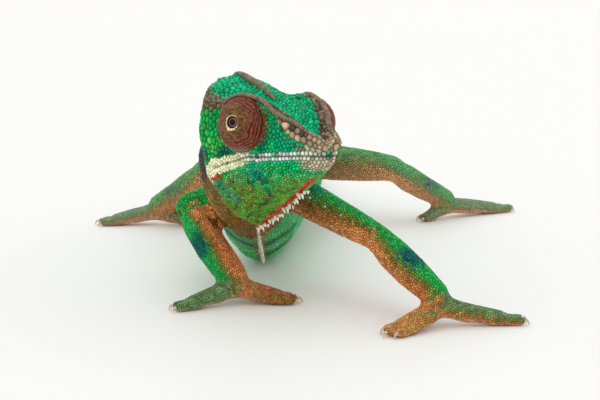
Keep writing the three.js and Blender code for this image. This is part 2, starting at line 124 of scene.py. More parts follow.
# %% Camera
CAMERA_FROM_HEAD = Vector((5.2, -326.0, 45.9)) * MM
CAMERA_DOWN = math.radians(10.7)
lens = bpy.data.cameras.new("camera")
lens.lens = 85
lens.sensor_width = 36
lens.clip_start = 0.01
camera = bpy.data.objects.new("camera", lens)
camera.location = head_place + CAMERA_FROM_HEAD
camera.rotation_euler = (math.radians(90) - CAMERA_DOWN, 0, 0)
bpy.context.collection.objects.link(camera)
bpy.context.scene.camera = camera
bpy.context.scene.view_settings.view_transform = "Standard"


# %% Lamps, sky and floor
def soft_sun(name, shines_along, softness, power):
    light = bpy.data.lights.new(name, "SUN")
    light.angle = math.radians(softness)
    light.energy = power
    holder = bpy.data.objects.new(name, light)
    holder.rotation_euler = Vector(shines_along).to_track_quat("-Z", "Y").to_euler()
    bpy.context.collection.objects.link(holder)


soft_sun("key_light", (0.3, 0.7, -1.0), 90, 0.65)
soft_sun("top_light", (-0.25, -0.2, -1.0), 150, 0.65)
sky = bpy.data.worlds.new("sky")
bpy.context.scene.world = sky
sky.use_nodes = True
sky.node_tree.nodes["Background"].inputs["Color"].default_value = (1.0, 0.995, 0.985, 1)
sky.node_tree.nodes["Background"].inputs["Strength"].default_value = 0.71

floor_mesh = bpy.data.meshes.new("floor")
ground = bmesh.new()
bmesh.ops.create_grid(ground, x_segments=1, y_segments=1, size=4)
bmesh.ops.translate(ground, verts=ground.verts, vec=(0, 0, -0.05 * MM))
ground.to_mesh(floor_mesh)
ground.free()
floor = bpy.data.objects.new("floor", floor_mesh)
bpy.context.collection.objects.link(floor)
floor_paint = bpy.data.materials.new("floor_paint")
floor_paint.use_nodes = True
floor_paint.node_tree.nodes["Principled BSDF"].inputs["Base Color"].default_value = (0.93, 0.93, 0.91, 1)
floor_paint.node_tree.nodes["Principled BSDF"].inputs["Roughness"].default_value = 0.6
floor_mesh.materials.append(floor_paint)

# %% [markdown]
# ## One skin over all the parts
# A living animal has no seams, but the solids are parted with thin cuts. Copies of all the fleshy
# solids are swollen a little, so that the cuts close, and one voxel remesh wraps them in a single
# even net of small squares. Smoothing in pairs of opposite steps rounds the facets without thinning
# the toes. The skin is then drawn in by the height of the scales that will stand on it.

# %% Joining the fleshy solids
FLESH = sorted(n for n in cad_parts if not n.startswith("eye") and "claw" not in n)
CLOSE_CUTS = 0.24 * MM
COAT_DEPTH = 0.2 * MM
SKIN_NET = 0.6 * MM


def link_mesh(name, mesh):
    piece = bpy.data.objects.new(name, mesh)
    bpy.context.collection.objects.link(piece)
    return piece


def evaluated_copy(piece, name):
    graph = bpy.context.evaluated_depsgraph_get()
    return bpy.data.meshes.new_from_object(piece.evaluated_get(graph), depsgraph=graph)


def voxel_net(piece, size, name):
    wrap = piece.modifiers.new("wrap", "REMESH")
    wrap.mode = "VOXEL"
    wrap.voxel_size = size
    mesh = evaluated_copy(piece, name)
    piece.modifiers.remove(wrap)
    mesh.name = name
    return mesh


def coordinates(mesh):
    flat = np.empty(len(mesh.vertices) * 3, dtype=np.float32)
    mesh.vertices.foreach_get("co", flat)
    return flat.reshape(-1, 3).astype(np.float64)


def normals_of(mesh):
    flat = np.empty(len(mesh.vertices) * 3, dtype=np.float32)
    mesh.vertices.foreach_get("normal", flat)
    return flat.reshape(-1, 3).astype(np.float64)


def move_to(mesh, points):
    mesh.vertices.foreach_set("co", points.astype(np.float32).ravel())
    mesh.update()


solids = bmesh.new()
flesh_faces = []  # which solid each face belongs to
for number, node in enumerate(FLESH):
    part = bmesh.new()
    part.from_mesh(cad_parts[node].data)
    bmesh.ops.remove_doubles(part, verts=part.verts, dist=1e-6)
    part.normal_update()
    for corner in part.verts:
        corner.co += corner.normal * CLOSE_CUTS
    scrap = bpy.data.meshes.new("scrap")
    part.to_mesh(scrap)
    solids.from_mesh(scrap)
    flesh_faces += [number] * len(part.faces)
    part.free()
    bpy.data.meshes.remove(scrap)
solids.faces.ensure_lookup_table()
flesh_tree = BVHTree.FromBMesh(solids)
SOCKET_FILL = 6.1 * MM  # a core in each socket, hidden by the turret, keeps the thin brow from folding in
turret_hubs = {side: on_head(*at) for side, at in TURRET_AT.items()}
for hub in turret_hubs.values():
    bmesh.ops.create_icosphere(solids, subdivisions=4, radius=SOCKET_FILL, matrix=Matrix.Translation(hub))
body_mesh = bpy.data.meshes.new("body")
solids.to_mesh(body_mesh)
solids.free()
body = link_mesh("body", body_mesh)
skin_mesh = voxel_net(body, SKIN_NET, "skin")
bpy.data.objects.remove(body)
elapsed(f"skin net of {len(skin_mesh.vertices)} points")

# %% The legs' joints
SHIFT = Vector((-13.6, -74.5, 0))  # from the legs' own measures to the body's
LEGS = {  # root, knee, ankle, in millimetres
    "fore_left": ((6, -25, 25.8), (29, -51, 17.9), (43, -66, 6.6)),
    "fore_right": ((-4, -14, 20), (-17.6, -29, 21), (-5.4, -46, 6)),
    "hind_left": ((13, 63, 18.5), (38.9, 47, 18.6), (58.2, 61.5, 5.6)),
    "hind_right": ((5, 63, 18.5), (-18.3, 41, 18.6), (-35, 51, 5.6)),
}
joints = [
    (Vector(place) + SHIFT) * MM + body_zero
    for _, knee, ankle in LEGS.values()
    for place in (knee, ankle)
]
print("joints:", len(joints))

# %% Smoothing it and drawing it in
net = bmesh.new()
net.from_mesh(skin_mesh)
bends = [v for v in net.verts if min((v.co - joint).length for joint in joints) < 6.5 * MM]
AXES = {"use_axis_x": True, "use_axis_y": True, "use_axis_z": True}
for _ in range(9):
    bmesh.ops.smooth_vert(net, verts=net.verts, factor=0.5, **AXES)
    bmesh.ops.smooth_vert(net, verts=net.verts, factor=-0.49, **AXES)
for _ in range(12):
    bmesh.ops.smooth_vert(net, verts=bends, factor=0.5, **AXES)
net.to_mesh(skin_mesh)
net.free()
skin_mesh.update()
move_to(skin_mesh, coordinates(skin_mesh) - normals_of(skin_mesh) * (CLOSE_CUTS + COAT_DEPTH))
elapsed("skin smoothed")

# %% [markdown]
# ## Folds of the face
# The skin is carved where the solids are plain: a dark slit between the lips with a swollen lip on
# each side of it, a groove under the horny band of the snout, the small fold in front of the eye, the
# nostrils, a ring-shaped furrow round each turret and soft creases where the throat meets the neck.
# Each one follows a line given in the head's own frame, and works on both sides of the face at once.

# %% Lines and soft steps
MOUTH = [
    (-15, -11.2), (-12, -9.4), (-9.5, -8.1), (-6, -7.0), (-2.5, -6.1), (1.3, -5.0), (7, -4.75),
    (16, -4.1), (23, -4.0),
]
BAND_TOP = [(5.2, 8.2), (7.4, 7.0), (9.3, 5.4), (11.4, 4.4), (13.1, 3.7), (16, 1.5), (19, 0.6), (22, -0.9)]
BAND_FOOT = [
    (8.6, 4.4), (9.4, 3.2), (10.5, 2.1), (11.5, 0.6), (13.5, -0.9), (15.7, -2.1), (17.6, -2.7),
    (23, -3.0),
]
SLIT = [(11.1, 0.9), (12.1, -0.6), (13.3, -2.0)]


def soft(value, low, high):
    """0 below low, 1 above high, and a smooth ramp between them."""
    t = np.clip((value - low) / (high - low), 0, 1)
    return t * t * (3 - 2 * t)


def height_on(line, f):
    forward, upward = zip(*line)
    return np.interp(f, forward, upward)


def to_line(line, points):
    """Distance of each point from a line through given stations, and how far along it lies."""
    stations = np.array(line, dtype=float)
    lengths = np.linalg.norm(np.diff(stations, axis=0), axis=1)
    best = np.full(len(points), 1e9)
    along = np.zeros(len(points))
    run = 0.0
    for start, end, length in zip(stations[:-1], stations[1:], lengths):
        part = np.clip((points - start) @ (end - start) / length**2, 0, 1)
        gap = np.linalg.norm(points - (start + part[:, None] * (end - start)), axis=1)
        nearer = gap < best
        best[nearer] = gap[nearer]
        along[nearer] = (run + part[nearer] * length) / lengths.sum()
        run += length
    return best, along


def hump(distance, width):
    return np.exp(-((distance / width) ** 2))


# %% Carving the head
points = coordinates(skin_mesh)
outward = normals_of(skin_mesh)
f, l, u = head_coordinates(points)
reach = np.abs(l)
side_on = np.stack([f, u], 1)
near_head = soft(30 - np.linalg.norm(points / MM - np.array(head_place) / MM, axis=1), 0, 3)

lips = u - height_on(MOUTH, f)
mouth_open = soft(f, -13, -10) * near_head * soft(-u, -1, 1)
push = -0.35 * hump(lips, 0.3) * mouth_open
push += 0.3 * (hump(lips - 0.9, 0.6) + hump(lips + 0.9, 0.6)) * mouth_open

band = u - height_on(BAND_FOOT, f)
band_tall = height_on(BAND_TOP, f) - height_on(BAND_FOOT, f)
on_band = soft(f, 8, 11) * soft(reach, 1.5, 3) * near_head
push += 0.55 * hump(band - 0.45 * band_tall, 0.42 * band_tall) * on_band
push -= 0.75 * hump(band + 0.35, 0.5) * on_band
slit_gap, _ = to_line(SLIT, side_on)
push -= 0.7 * hump(slit_gap, 0.45) * soft(reach, 3, 4) * near_head
nostril_gap = np.linalg.norm(np.stack([f - 19.6, reach - 3.3, u + 1.2], 1), axis=1)
push -= 0.9 * hump(nostril_gap, 0.75)
for cheek_low in (-2.9, -1.9):
    push -= 0.18 * hump(u - cheek_low, 0.3) * soft(f, 4, 7) * soft(-f, -15, -13) * soft(reach, 4, 5)

for side, at in TURRET_AT.items():
    hub = np.array(on_head(*at))
    axis = np.array(head_turn @ gaze_axis(side))
    flat = points - hub - ((points - hub) @ axis)[:, None] * axis
    ring = np.linalg.norm(flat, axis=1) / MM
    facing = soft(outward @ axis, 0.1, 0.5)
    push -= 0.45 * hump(ring - 7.3, 0.55) * facing
    push += 0.25 * hump(ring - 8.2, 0.6) * facing

crease_noise = np.array([noise.noise(Vector(p) * 420) for p in points])
throat_foot = soft(-u, 12, 15) * soft(-f, -6, -1) * near_head
push += 0.3 * crease_noise * throat_foot
move_to(skin_mesh, points + outward * (push * MM)[:, None])
skin = link_mesh("skin", skin_mesh)
elapsed("face carved")

# %% [markdown]
# ## Where each scale sits
# Chameleon scales are granules set like cobbles, each touching five to seven others. They are 1.5 mm
# wide on the casque and cheek, 1 mm on the flanks and half a millimetre on the toes. A blue-noise
# scatter gives that packing: points of a fine net are picked in a shuffled order, and each one picked
# rules out its neighbours. Two rounds of moving every seed to the middle of its patch even them out.
# Rows that stand in line on the animal, such as those along the lips, brow and snout, are set first.

# %% How wide the scales are
def nearest_solid(points):
    found = [flesh_tree.find_nearest(p)[2] for p in points.tolist()]
    return np.array(flesh_faces)[found]


ON = {node: number for number, node in enumerate(FLESH)}
WIDTHS = {
    "foot": 0.52, "lower": 0.6, "upper": 0.72, "trunk": 1.1,
    "neck": 0.78, "tail": 1.0, "jaw": 0.75, "head": 1.0,
}
node_width = np.array([next(w for word, w in WIDTHS.items() if word in node) for node in FLESH])


def scale_width(points, solid):
    """Width of the scales, in millimetres, at each point of the skin."""
    width = node_width[solid].copy()
    f, l, u = head_coordinates(points)
    on_face = np.isin(solid, (ON["head"], ON["jaw"]))
    casque = soft(u, 5, 8) * soft(-f, 0, 4)
    temple = soft(-f, 1, 6) * soft(7 - u, 0, 2)
    width = np.where(on_face, 0.9 + 0.35 * casque + 0.3 * temple - 0.08 * soft(-u, -1, 2), width)
    lips = np.abs(u - height_on(MOUTH, f))
    width = np.where(on_face & (lips < 2.2) & (f < -1), 0.54, width)
    for side, at in TURRET_AT.items():
        hub = np.array(on_head(*at)) / MM
        axis = np.array(head_turn @ gaze_axis(side))
        away = points / MM - hub
        ring = np.linalg.norm(away - (away @ axis)[:, None] * axis, axis=1)
        width = np.where(on_face & (ring < 8.6) & (away @ axis > -3), np.minimum(width, 0.85), width)
    throat = on_face & (u < height_on(MOUTH, f) - 2)
    width = np.where(throat, 0.78 - 0.26 * soft(-u, 7.5, 12.5), width)
    tail_tip = solid == ON["tail_3"]
    width = np.where(tail_tip, 0.8, width)
    return width


def stretched(points, solid):
    """Places in which the long scales of the cheek and throat look as wide as they are long."""
    f, l, u = head_coordinates(points)
    on_face = np.isin(solid, (ON["head"], ON["jaw"]))
    upright = u - 0.3 * (np.clip(u, -3.5, 6) + 3.5)
    slanted = f * (1 - 0.25 * soft(-u, 9, 13))
    moved = np.stack([l, -slanted, upright], 1)
    back = np.array(head_place) + moved @ np.array(head_turn).T * MM
    return np.where(on_face[:, None], back, points)


# %% A fine net to pick from
FINE_NET = 0.36 * MM
fine = bmesh.new()
fine.from_mesh(voxel_net(skin, FINE_NET, "fine"))
fine.verts.ensure_lookup_table()
places = np.array([v.co for v in fine.verts])
small = scale_width(places, nearest_solid(places)) < 0.92
to_split = [e for e in fine.edges if small[e.verts[0].index]]
bmesh.ops.subdivide_edges(fine, edges=to_split, cuts=1, use_grid_fill=True)
bmesh.ops.triangulate(fine, faces=fine.faces)
fine_mesh = bpy.data.meshes["fine"]
fine.to_mesh(fine_mesh)
fine.free()
places = coordinates(fine_mesh)
solid_at = nearest_solid(places)
width_at = scale_width(places, solid_at) * MM
even = stretched(places, solid_at)
elapsed(f"fine net of {len(places)} points")

# %% Rows that stand in line
def row(line, step):
    """Evenly stepped stations along a line of (forward, left, up) points, mirrored to both sides."""
    stations = np.array(line, dtype=float)
    lengths = np.linalg.norm(np.diff(stations, axis=0), axis=1)
    marks = np.concatenate([[0], np.cumsum(lengths)])
    steps = np.arange(step / 2, marks[-1], step)
    one_side = np.stack([np.interp(steps, marks, stations[:, k]) for k in range(3)], 1)
    return np.concatenate([one_side, one_side * (1, -1, 1)])


def body_row(line, step):
    """Evenly stepped stations along a line of body places, in millimetres, as head stations."""
    stations = np.array(line, dtype=float)
    marks = np.concatenate([[0], np.cumsum(np.linalg.norm(np.diff(stations, axis=0), axis=1))])
    steps = np.arange(step / 2, marks[-1], step)
    stepped = np.stack([np.interp(steps, marks, stations[:, k]) for k in range(3)], 1)
    return np.stack(head_coordinates(stepped * MM + np.array(body_zero)), 1)


def lip_line(off, reaches):
    return [(f, out, height_on(MOUTH, f) + off) for f, out in reaches]


LIP_REACH = [(-12, 11.8), (-6, 11.2), (0, 9.6), (6, 8.1), (12, 6.4), (16, 4.7), (19, 3.0), (20.3, 1.0)]
BROW = [
    (-7.5, 10.5, 6.3), (-5.8, 9.9, 8.2), (-0.9, 9.1, 9.5), (5.2, 7.6, 8.2), (7.4, 7.5, 7.0),
    (9.3, 7.1, 5.4),
]
BAND_EDGE = [
    (9.3, 7.1, 5.4), (11.4, 6.1, 4.4), (13.1, 4.8, 3.7), (16, 3.5, 1.5), (19, 2.8, 0.6),
    (22, 1.3, -0.9),
]
BAND_MIDDLE = [
    (10.2, 7, 3.6), (11.8, 6.4, 2.3), (13.8, 5.6, 1.0), (16.2, 4.6, -0.4), (19, 3.6, -1.2),
    (21.5, 1.2, -2),
]
BAND_LOW = [
    (10.3, 6.9, 2.6), (11.6, 6.2, 1.2), (13.6, 5.6, -0.3), (15.8, 5.0, -1.5), (18, 4.0, -2.2),
    (20.5, 1.2, -2.8),
]
BAND_INNER = [
    (1.5, 7.3, 9), (5, 6.5, 8), (8, 5.6, 6.4), (11, 4.4, 4.4), (13.5, 3.4, 2.8), (16, 2.6, 1.4),
    (19, 1.8, 0.3),
]
WHITE_STRIPE = [SHIFT + Vector((0, -39.5, 17)), SHIFT + Vector((0, -4.5, 1))]  # down the chest's middle
BACK_RIM = [
    (-7.9, 10.6, 6.2), (-11, 11, 7.0), (-14.7, 11.1, 8.5), (-16.5, 9.5, 9.9), (-19.1, 5.9, 11.7),
    (-17.5, 2, 13.2),
]
ROWS = {
    "lip_upper": (row(lip_line(0.55, LIP_REACH), 1.0), 1.0),
    "lip_lower": (row(lip_line(-0.5, LIP_REACH), 0.95), 0.95),
    "brow": (row(BROW, 0.85), 0.95),
    "band_edge": (row(BAND_EDGE, 1.25), 1.3),
    "band_middle": (row(BAND_MIDDLE, 1.6), 1.6),
    "band_low": (row(BAND_LOW, 1.6), 1.5),
    "back_rim": (row(BACK_RIM, 1.0), 1.1),
    "band_inner": (row(BAND_INNER, 1.15), 1.2),
    "big_teal": (np.array([(10.6, 2.1, 2.8)]), 2.1),
    "white_line": (body_row(WHITE_STRIPE, 0.6), 0.62),
}

# %% Seeds, spaced out and evened
even_tree = KDTree(len(even))
for number, place in enumerate(even.tolist()):
    even_tree.insert(place, number)
even_tree.balance()
place_tree = KDTree(len(places))
for number, place in enumerate(places.tolist()):
    place_tree.insert(place, number)
place_tree.balance()
PACKING = 0.8
rng = np.random.default_rng(20)
covered = bytearray(len(even))
seeds = []
even_list = even.tolist()
cover = (width_at * PACKING).tolist()
for stations, width in ROWS.values():
    for station in stations.tolist():
        _, pick, gap = place_tree.find(on_head(*station))
        if not covered[pick] and gap < 2.5 * MM:
            seeds.append(pick)
            for _, neighbour, _ in even_tree.find_range(even_list[pick], width * 0.8 * MM):
                covered[neighbour] = 1
fixed = len(seeds)
for pick in rng.permutation(len(even)).tolist():
    if not covered[pick]:
        seeds.append(pick)
        for _, neighbour, _ in even_tree.find_range(even_list[pick], cover[pick]):
            covered[neighbour] = 1
elapsed(f"{fixed} scales in rows, {len(seeds)} in all")


def nearest_seeds(seeds):
    tree = KDTree(len(seeds))
    for number, pick in enumerate(seeds):
        tree.insert(even_list[pick], number)
    tree.balance()
    return np.fromiter((tree.find(place)[1] for place in even_list), dtype=np.int64, count=len(even_list))


for _ in range(2):
    patch = nearest_seeds(seeds)
    crowd = np.bincount(patch, minlength=len(seeds))
    centre = np.stack([np.bincount(patch, weights=even[:, k], minlength=len(seeds)) for k in range(3)], 1)
    centre /= np.maximum(crowd, 1)[:, None]
    seeds = seeds[:fixed] + [even_tree.find(c)[1] for c in centre[fixed:].tolist()]
patch = nearest_seeds(seeds)
elapsed("seeds evened")

# %% [markdown]
# ## From seeds to cobbles
# Every point of the fine net is moved onto its own seed and the net is merged, which leaves one
# triangle wherever three patches meet. The dual of those triangles is the cobbled pattern itself: a
# cell per seed, mostly six-sided. Each cell is then raised in two steps into a low dome, so that a
# groove runs round it, and its rim is sunk a little under the skin that shows between the scales.

# %% The net between the seeds
seed_places = places[np.array(seeds)]
move_to(fine_mesh, seed_places[patch])
links = bmesh.new()
links.from_mesh(fine_mesh)
bmesh.ops.remove_doubles(links, verts=links.verts, dist=1e-7)
loose = [v for v in links.verts if not v.link_faces]
bmesh.ops.delete(links, geom=loose, context="VERTS")
bmesh.ops.beautify_fill(links, faces=links.faces, edges=links.edges, method="ANGLE")
skin_tree = BVHTree.FromObject(skin, bpy.context.evaluated_depsgraph_get())
for _ in range(2):
    bmesh.ops.smooth_vert(links, verts=links.verts, factor=0.35, **AXES)
    for joint in links.verts:
        joint.co = skin_tree.find_nearest(joint.co)[0]
link_mesh_data = bpy.data.meshes.new("links")
links.to_mesh(link_mesh_data)
links.free()
links_piece = link_mesh("links", link_mesh_data)

dual_tree = bpy.data.node_groups.new("cells", "GeometryNodeTree")
dual_tree.interface.new_socket("Geometry", in_out="INPUT", socket_type="NodeSocketGeometry")
dual_tree.interface.new_socket("Geometry", in_out="OUTPUT", socket_type="NodeSocketGeometry")
dual_in = dual_tree.nodes.new("NodeGroupInput")
dual_out = dual_tree.nodes.new("NodeGroupOutput")
dual_step = dual_tree.nodes.new("GeometryNodeDualMesh")
dual_tree.links.new(dual_in.outputs[0], dual_step.inputs[0])
dual_tree.links.new(dual_step.outputs[0], dual_out.inputs[0])
links_piece.modifiers.new("cells", "NODES").node_group = dual_tree
cell_mesh = evaluated_copy(links_piece, "cells")
bpy.data.objects.remove(links_piece)
elapsed(f"{len(cell_mesh.polygons)} cells")

# %% Which solid, row and size each scale has
def polygon_values(mesh, name, width, kind=np.float32):
    flat = np.empty(len(mesh.polygons) * width, dtype=kind)
    mesh.polygons.foreach_get(name, flat)
    return flat.reshape(-1, width) if width > 1 else flat


centres = polygon_values(cell_mesh, "center", 3).astype(float)
facing = polygon_values(cell_mesh, "normal", 3).astype(float)
cell_size = np.sqrt(polygon_values(cell_mesh, "area", 1).astype(float))
cell_solid = nearest_solid(centres)

row_of_seed = np.full(len(seeds), -1)
ROW_NAMES = list(ROWS)
row_tree = KDTree(sum(len(stations) for stations, _ in ROWS.values()))
row_codes = []
for code, (stations, _) in enumerate(ROWS.values()):
    for station in stations.tolist():
        row_tree.insert(on_head(*station), len(row_codes))
        row_codes.append(code)
row_tree.balance()
for number in range(fixed):
    row_of_seed[number] = row_codes[row_tree.find(seed_places[number])[1]]
seed_tree = KDTree(len(seeds))
for number, place in enumerate(seed_places.tolist()):
    seed_tree.insert(place, number)
seed_tree.balance()


def rows_at(points):
    """The row of the nearest scale, or -1, at each point."""
    return row_of_seed[[seed_tree.find(p)[1] for p in points.tolist()]]


cell_row = rows_at(centres)
print("scale widths, mm:", np.percentile(cell_size / MM, [1, 25, 50, 75, 99]).round(2))

# %% The cells of each part of the coat
def inside_turret(points):
    """Points hidden under a turret's own skin."""
    hidden = np.zeros(len(points), dtype=bool)
    for side, hub in turret_hubs.items():
        away = (points - np.array(hub)) / MM
        up = away @ np.array(head_turn @ gaze_axis(side))
        hidden |= (np.linalg.norm(away, axis=1) < 6.4) & (up > -1.5)
    return hidden


COATS = {
    "head_scales": ("head",),
    "throat_scales": ("jaw",),
    "neck_scales": ("neck",),
    "trunk_scales": ("trunk",),
    "tail_scales": ("tail_1", "tail_2", "tail_3"),
    "fore_left_scales": ("fore_left",),
    "fore_right_scales": ("fore_right",),
    "hind_left_scales": ("hind_left",),
    "hind_right_scales": ("hind_right",),
    "rump_scales": ("tail_base",),
}
coat_of_cell = np.zeros(len(centres), dtype=int)
for code, words in enumerate(COATS.values()):
    members = [ON[node] for node in FLESH if any(node.startswith(word) for word in words)]
    coat_of_cell[np.isin(cell_solid, members)] = code
RUMP_FROM = -44  # the trunk's rear part is kept with the root of the tail, in body millimetres
rear = (centres[:, 1] / MM - body_zero.y / MM > RUMP_FROM) & (cell_solid == ON["trunk"])
coat_of_cell[rear] = list(COATS).index("rump_scales")
coat_of_cell[inside_turret(centres)] = -1
print("hidden in the sockets:", (coat_of_cell < 0).sum())
print("scales:", dict(zip(COATS, np.bincount(coat_of_cell[coat_of_cell >= 0]).tolist())))

# %% [markdown]
# ## The markings
# The colours are laid on in washes, as a model painter would: a base for each part of the body, then
# the bars, patches and fine lines over it, each with its own soft mask. The scales and the skin under
# them take the same washes, the skin darker. Real chameleon scales differ a little from one to the
# next, so each scale also gets a small shift of its own, and where two colours meet the scales of
# both are mixed like stitches.

# %% Paints
def paint(red, green, blue):
    """A colour named by its 0 to 255 values, as the linear values that Blender mixes."""
    value = np.array([red, green, blue]) / 255
    return np.where(value <= 0.04045, value / 12.92, ((value + 0.055) / 1.055) ** 2.4)


EMERALD, JADE, LEAF = paint(0, 158, 106), paint(10, 184, 124), paint(10, 160, 66)
LIME, MOSS, OLIVE = paint(104, 176, 44), paint(62, 130, 42), paint(108, 116, 40)
TEAL, DEEP_TEAL, SKY = paint(0, 134, 124), paint(0, 84, 84), paint(60, 160, 205)
INK, NAVY = paint(6, 36, 56), paint(8, 66, 98)
RUST, ORANGE, BROWN = paint(164, 88, 48), paint(232, 148, 88), paint(138, 100, 44)
RED, CREAM, BONE = paint(190, 66, 42), paint(246, 246, 196), paint(226, 236, 222)
HORN, PALE_HORN, DARK_HORN = paint(136, 118, 94), paint(172, 150, 120), paint(84, 70, 58)
MINT, PINK, WHITE = paint(92, 176, 104), paint(216, 152, 122), paint(246, 246, 234)
SAND, SAGE = paint(190, 130, 78), paint(112, 140, 98)


class Washes:
    """Colours of many points, built up wash by wash."""

    def __init__(self, points, outward, solid, rows, shift):
        self.points = points
        self.outward = outward
        self.solid = solid
        self.rows = rows
        self.shift = shift  # -1 to 1, each scale's own
        self.places = (points - np.array(body_zero)) / MM
        self.x, self.y, self.z = self.places.T
        self.f, self.l, self.u = head_coordinates(points)
        self.reach = np.abs(self.l)
        self.colour = np.tile(LEAF, (len(points), 1))
        self.ring = np.full(len(points), 99.0)  # distance from the nearer turret's axis
        for side, hub in turret_hubs.items():
            axis = np.array(head_turn @ gaze_axis(side))
            away = (points - np.array(hub)) / MM
            flat = np.linalg.norm(away - (away @ axis)[:, None] * axis, axis=1)
            self.ring = np.where(away @ axis > -3, np.minimum(self.ring, flat), self.ring)
        self.cloud = self.noise(90, 0)
        self.fleck = self.noise(260, 3)

    def noise(self, scale, offset):
        shifted = self.points * scale + offset
        return np.array([noise.noise(Vector(p)) for p in shifted.tolist()])

    def on(self, *words):
        wanted = [ON[node] for node in FLESH if any(word in node for word in words)]
        return np.isin(self.solid, wanted).astype(float)

    def row(self, name):
        return (self.rows == ROW_NAMES.index(name)).astype(float)

    def wash(self, colour, mask, strength=1.0):
        mask = np.clip(mask * strength, 0, 1)[:, None]
        self.colour = self.colour * (1 - mask) + colour * mask

    def blob(self, at, size, rough=0.35):
        """A soft spot on the head at (forward, out, up), on both sides."""
        gap = np.linalg.norm(np.stack([self.f, self.reach, self.u], 1) - at, axis=1)
        return soft(-gap / size + rough * (self.fleck + 0.6 * self.shift), -1.25, -0.75)

    def streak(self, line, width, rough=0.3):
        gap, _ = to_line(line, np.stack([self.f, self.reach, self.u], 1))
        return soft(-gap / width + rough * (self.fleck + 0.6 * self.shift), -1.25, -0.75)

    def spot(self, at, size, rough=0.2):
        """A spot at a place on the body, in millimetres."""
        gap = np.linalg.norm(self.places - at, axis=1)
        return soft(-gap / size + rough * self.shift, -1.2, -0.8)

    def line_on_body(self, line, width, rough=0.15):
        gap, _ = to_line(line, self.places)
        return soft(-gap / width + rough * self.shift, -1.2, -0.8)


# %% The head's washes
LOWER_BAND_ROWS = ("band_middle", "band_low")
THROAT_STREAK = [(1.6, 8, -8.2), (4.6, 6.6, -10), (4.3, 5, -12.6), (3.8, 3.8, -14.3)]
CHEEK_END = [(-12.6, 12.2, -7.5), (-12, 10.5, -11.5), (-9, 9.6, -14), (-6, 8.6, -15.5)]


